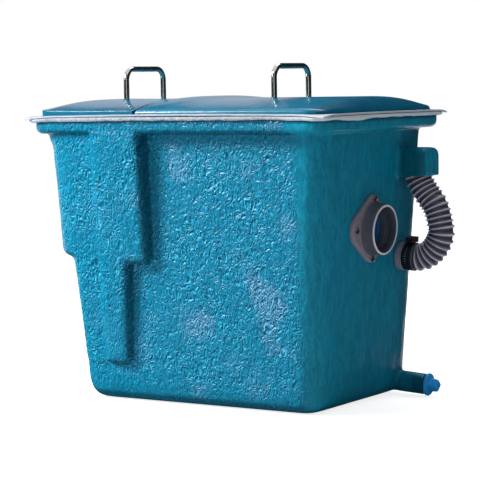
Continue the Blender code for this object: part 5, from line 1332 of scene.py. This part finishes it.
# Drain plug and its ring. A blue PVC plug with a disc, a square head and a real helical thread,
# screwed into the drain stub against a rubber ring.
DRAIN_FACE = 0.0373
GASKET = 0.0014
THREAD_RADIUS = 0.0096
THREAD_LENGTH = 0.013
THREAD_PITCH = 0.0018
THREAD_DEPTH = 0.0011
DISC_RADIUS = 0.0138
DISC = 0.0038
HEAD = 0.0125
HEAD_LENGTH = 0.0105
DRAIN_PLACE = (0.174148, 0.094, 0.016979)
drain_frame = wall_frame(*DRAIN_PLACE, pi / 2 + atan2(*OUTLET_LEAN))
profile = [(0.0099, DRAIN_FACE + 0.0003), (0.0102, DRAIN_FACE), (0.0120, DRAIN_FACE),
           (0.0123, DRAIN_FACE + 0.0004),
           (0.0123, DRAIN_FACE + GASKET - 0.0004), (0.0120, DRAIN_FACE + GASKET),
           (0.0102, DRAIN_FACE + GASKET),
           (0.0099, DRAIN_FACE + GASKET - 0.0003)]
rings = place_rings([circle(r, z, 64) for r, z in profile], drain_frame)
ring = loft("plug_rubber_ring", rings, rubber, loop=True)
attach(ring, "gasket")
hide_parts("plug_gasket")

# Injection-moulded blue PVC: brighter than the pipe, glossy, lightly scratched by spanners
plug_pvc = mottled("moulded_blue_pvc", (900.0, 3.0), ("#0C98E4", "#2CB8FC"), (0.20, 0.42), (0.2, 0.0003),
                   (0.2, 1.0, 1.0), IOR=1.53)


def square(size, corner, z, steps=96):
    """Give a rounded square ring, its corners on the axes, with the same count as a circle."""
    turns = np.arange(steps) * 2 * pi / steps
    ways = np.c_[np.cos(turns - pi / 4), np.sin(turns - pi / 4)]
    half = size / 2 - corner
    reach = np.abs(ways)
    flat = (size / 2) / reach.max(axis=1)
    point = ways * flat[:, None]
    past = np.abs(point).min(axis=1) > half
    middle = np.sign(ways) * half
    along = (ways * middle).sum(axis=1)
    round_reach = along + np.sqrt(np.maximum(along ** 2 - 2 * half ** 2 + corner ** 2, 0))
    point[past] = (ways * round_reach[:, None])[past]
    spin = np.array(((cos(pi / 4), -sin(pi / 4)), (sin(pi / 4), cos(pi / 4))))
    return np.c_[point @ spin.T, np.full(steps, z)]


disc = DRAIN_FACE + GASKET + 0.0003
foot = disc - THREAD_LENGTH
rings = [circle(THREAD_RADIUS - 0.0024, foot, 96)]
for k in range(91):
    z = foot + 0.0004 + (THREAD_LENGTH - 0.0008) * k / 90
    wave = thread_wave(z, THREAD_PITCH, 96)
    depth = THREAD_DEPTH * np.clip(wave * 1.25 - 0.1, 0, 1)
    lead = min(k / 8, (90 - k) / 8, 1.0)
    radius = THREAD_RADIUS - THREAD_DEPTH + (THREAD_DEPTH - depth) * lead
    rings.append(circle(radius, z, 96))
rings += [circle(r, z, 96) for r, z in (
    (THREAD_RADIUS - 0.0006, disc), (DISC_RADIUS - 0.0005, disc), (DISC_RADIUS - 0.0001, disc + 0.0002),
    (DISC_RADIUS, disc + 0.0006), (DISC_RADIUS, disc + DISC * 0.55),
    (DISC_RADIUS - 0.0006, disc + DISC * 0.75),
    (DISC_RADIUS - 0.0019, disc + DISC))]
base = disc + DISC
for size, corner, z in ((HEAD + 0.0012, 0.0024, base + 0.0001), (HEAD + 0.0003, 0.0017, base + 0.0006),
                        (HEAD, 0.0015, base + 0.0014), (HEAD * 0.93, 0.0015, base + HEAD_LENGTH - 0.0016),
                        (HEAD * 0.91, 0.0015, base + HEAD_LENGTH - 0.0006),
                        (HEAD * 0.86, 0.0015, base + HEAD_LENGTH)):
    rings.append(square(size, corner, z))
plug = loft("square_headed_plug", place_rings(rings, drain_frame), plug_pvc, caps=True)
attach(plug, "plug")
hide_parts("drain_plug")

low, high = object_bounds()
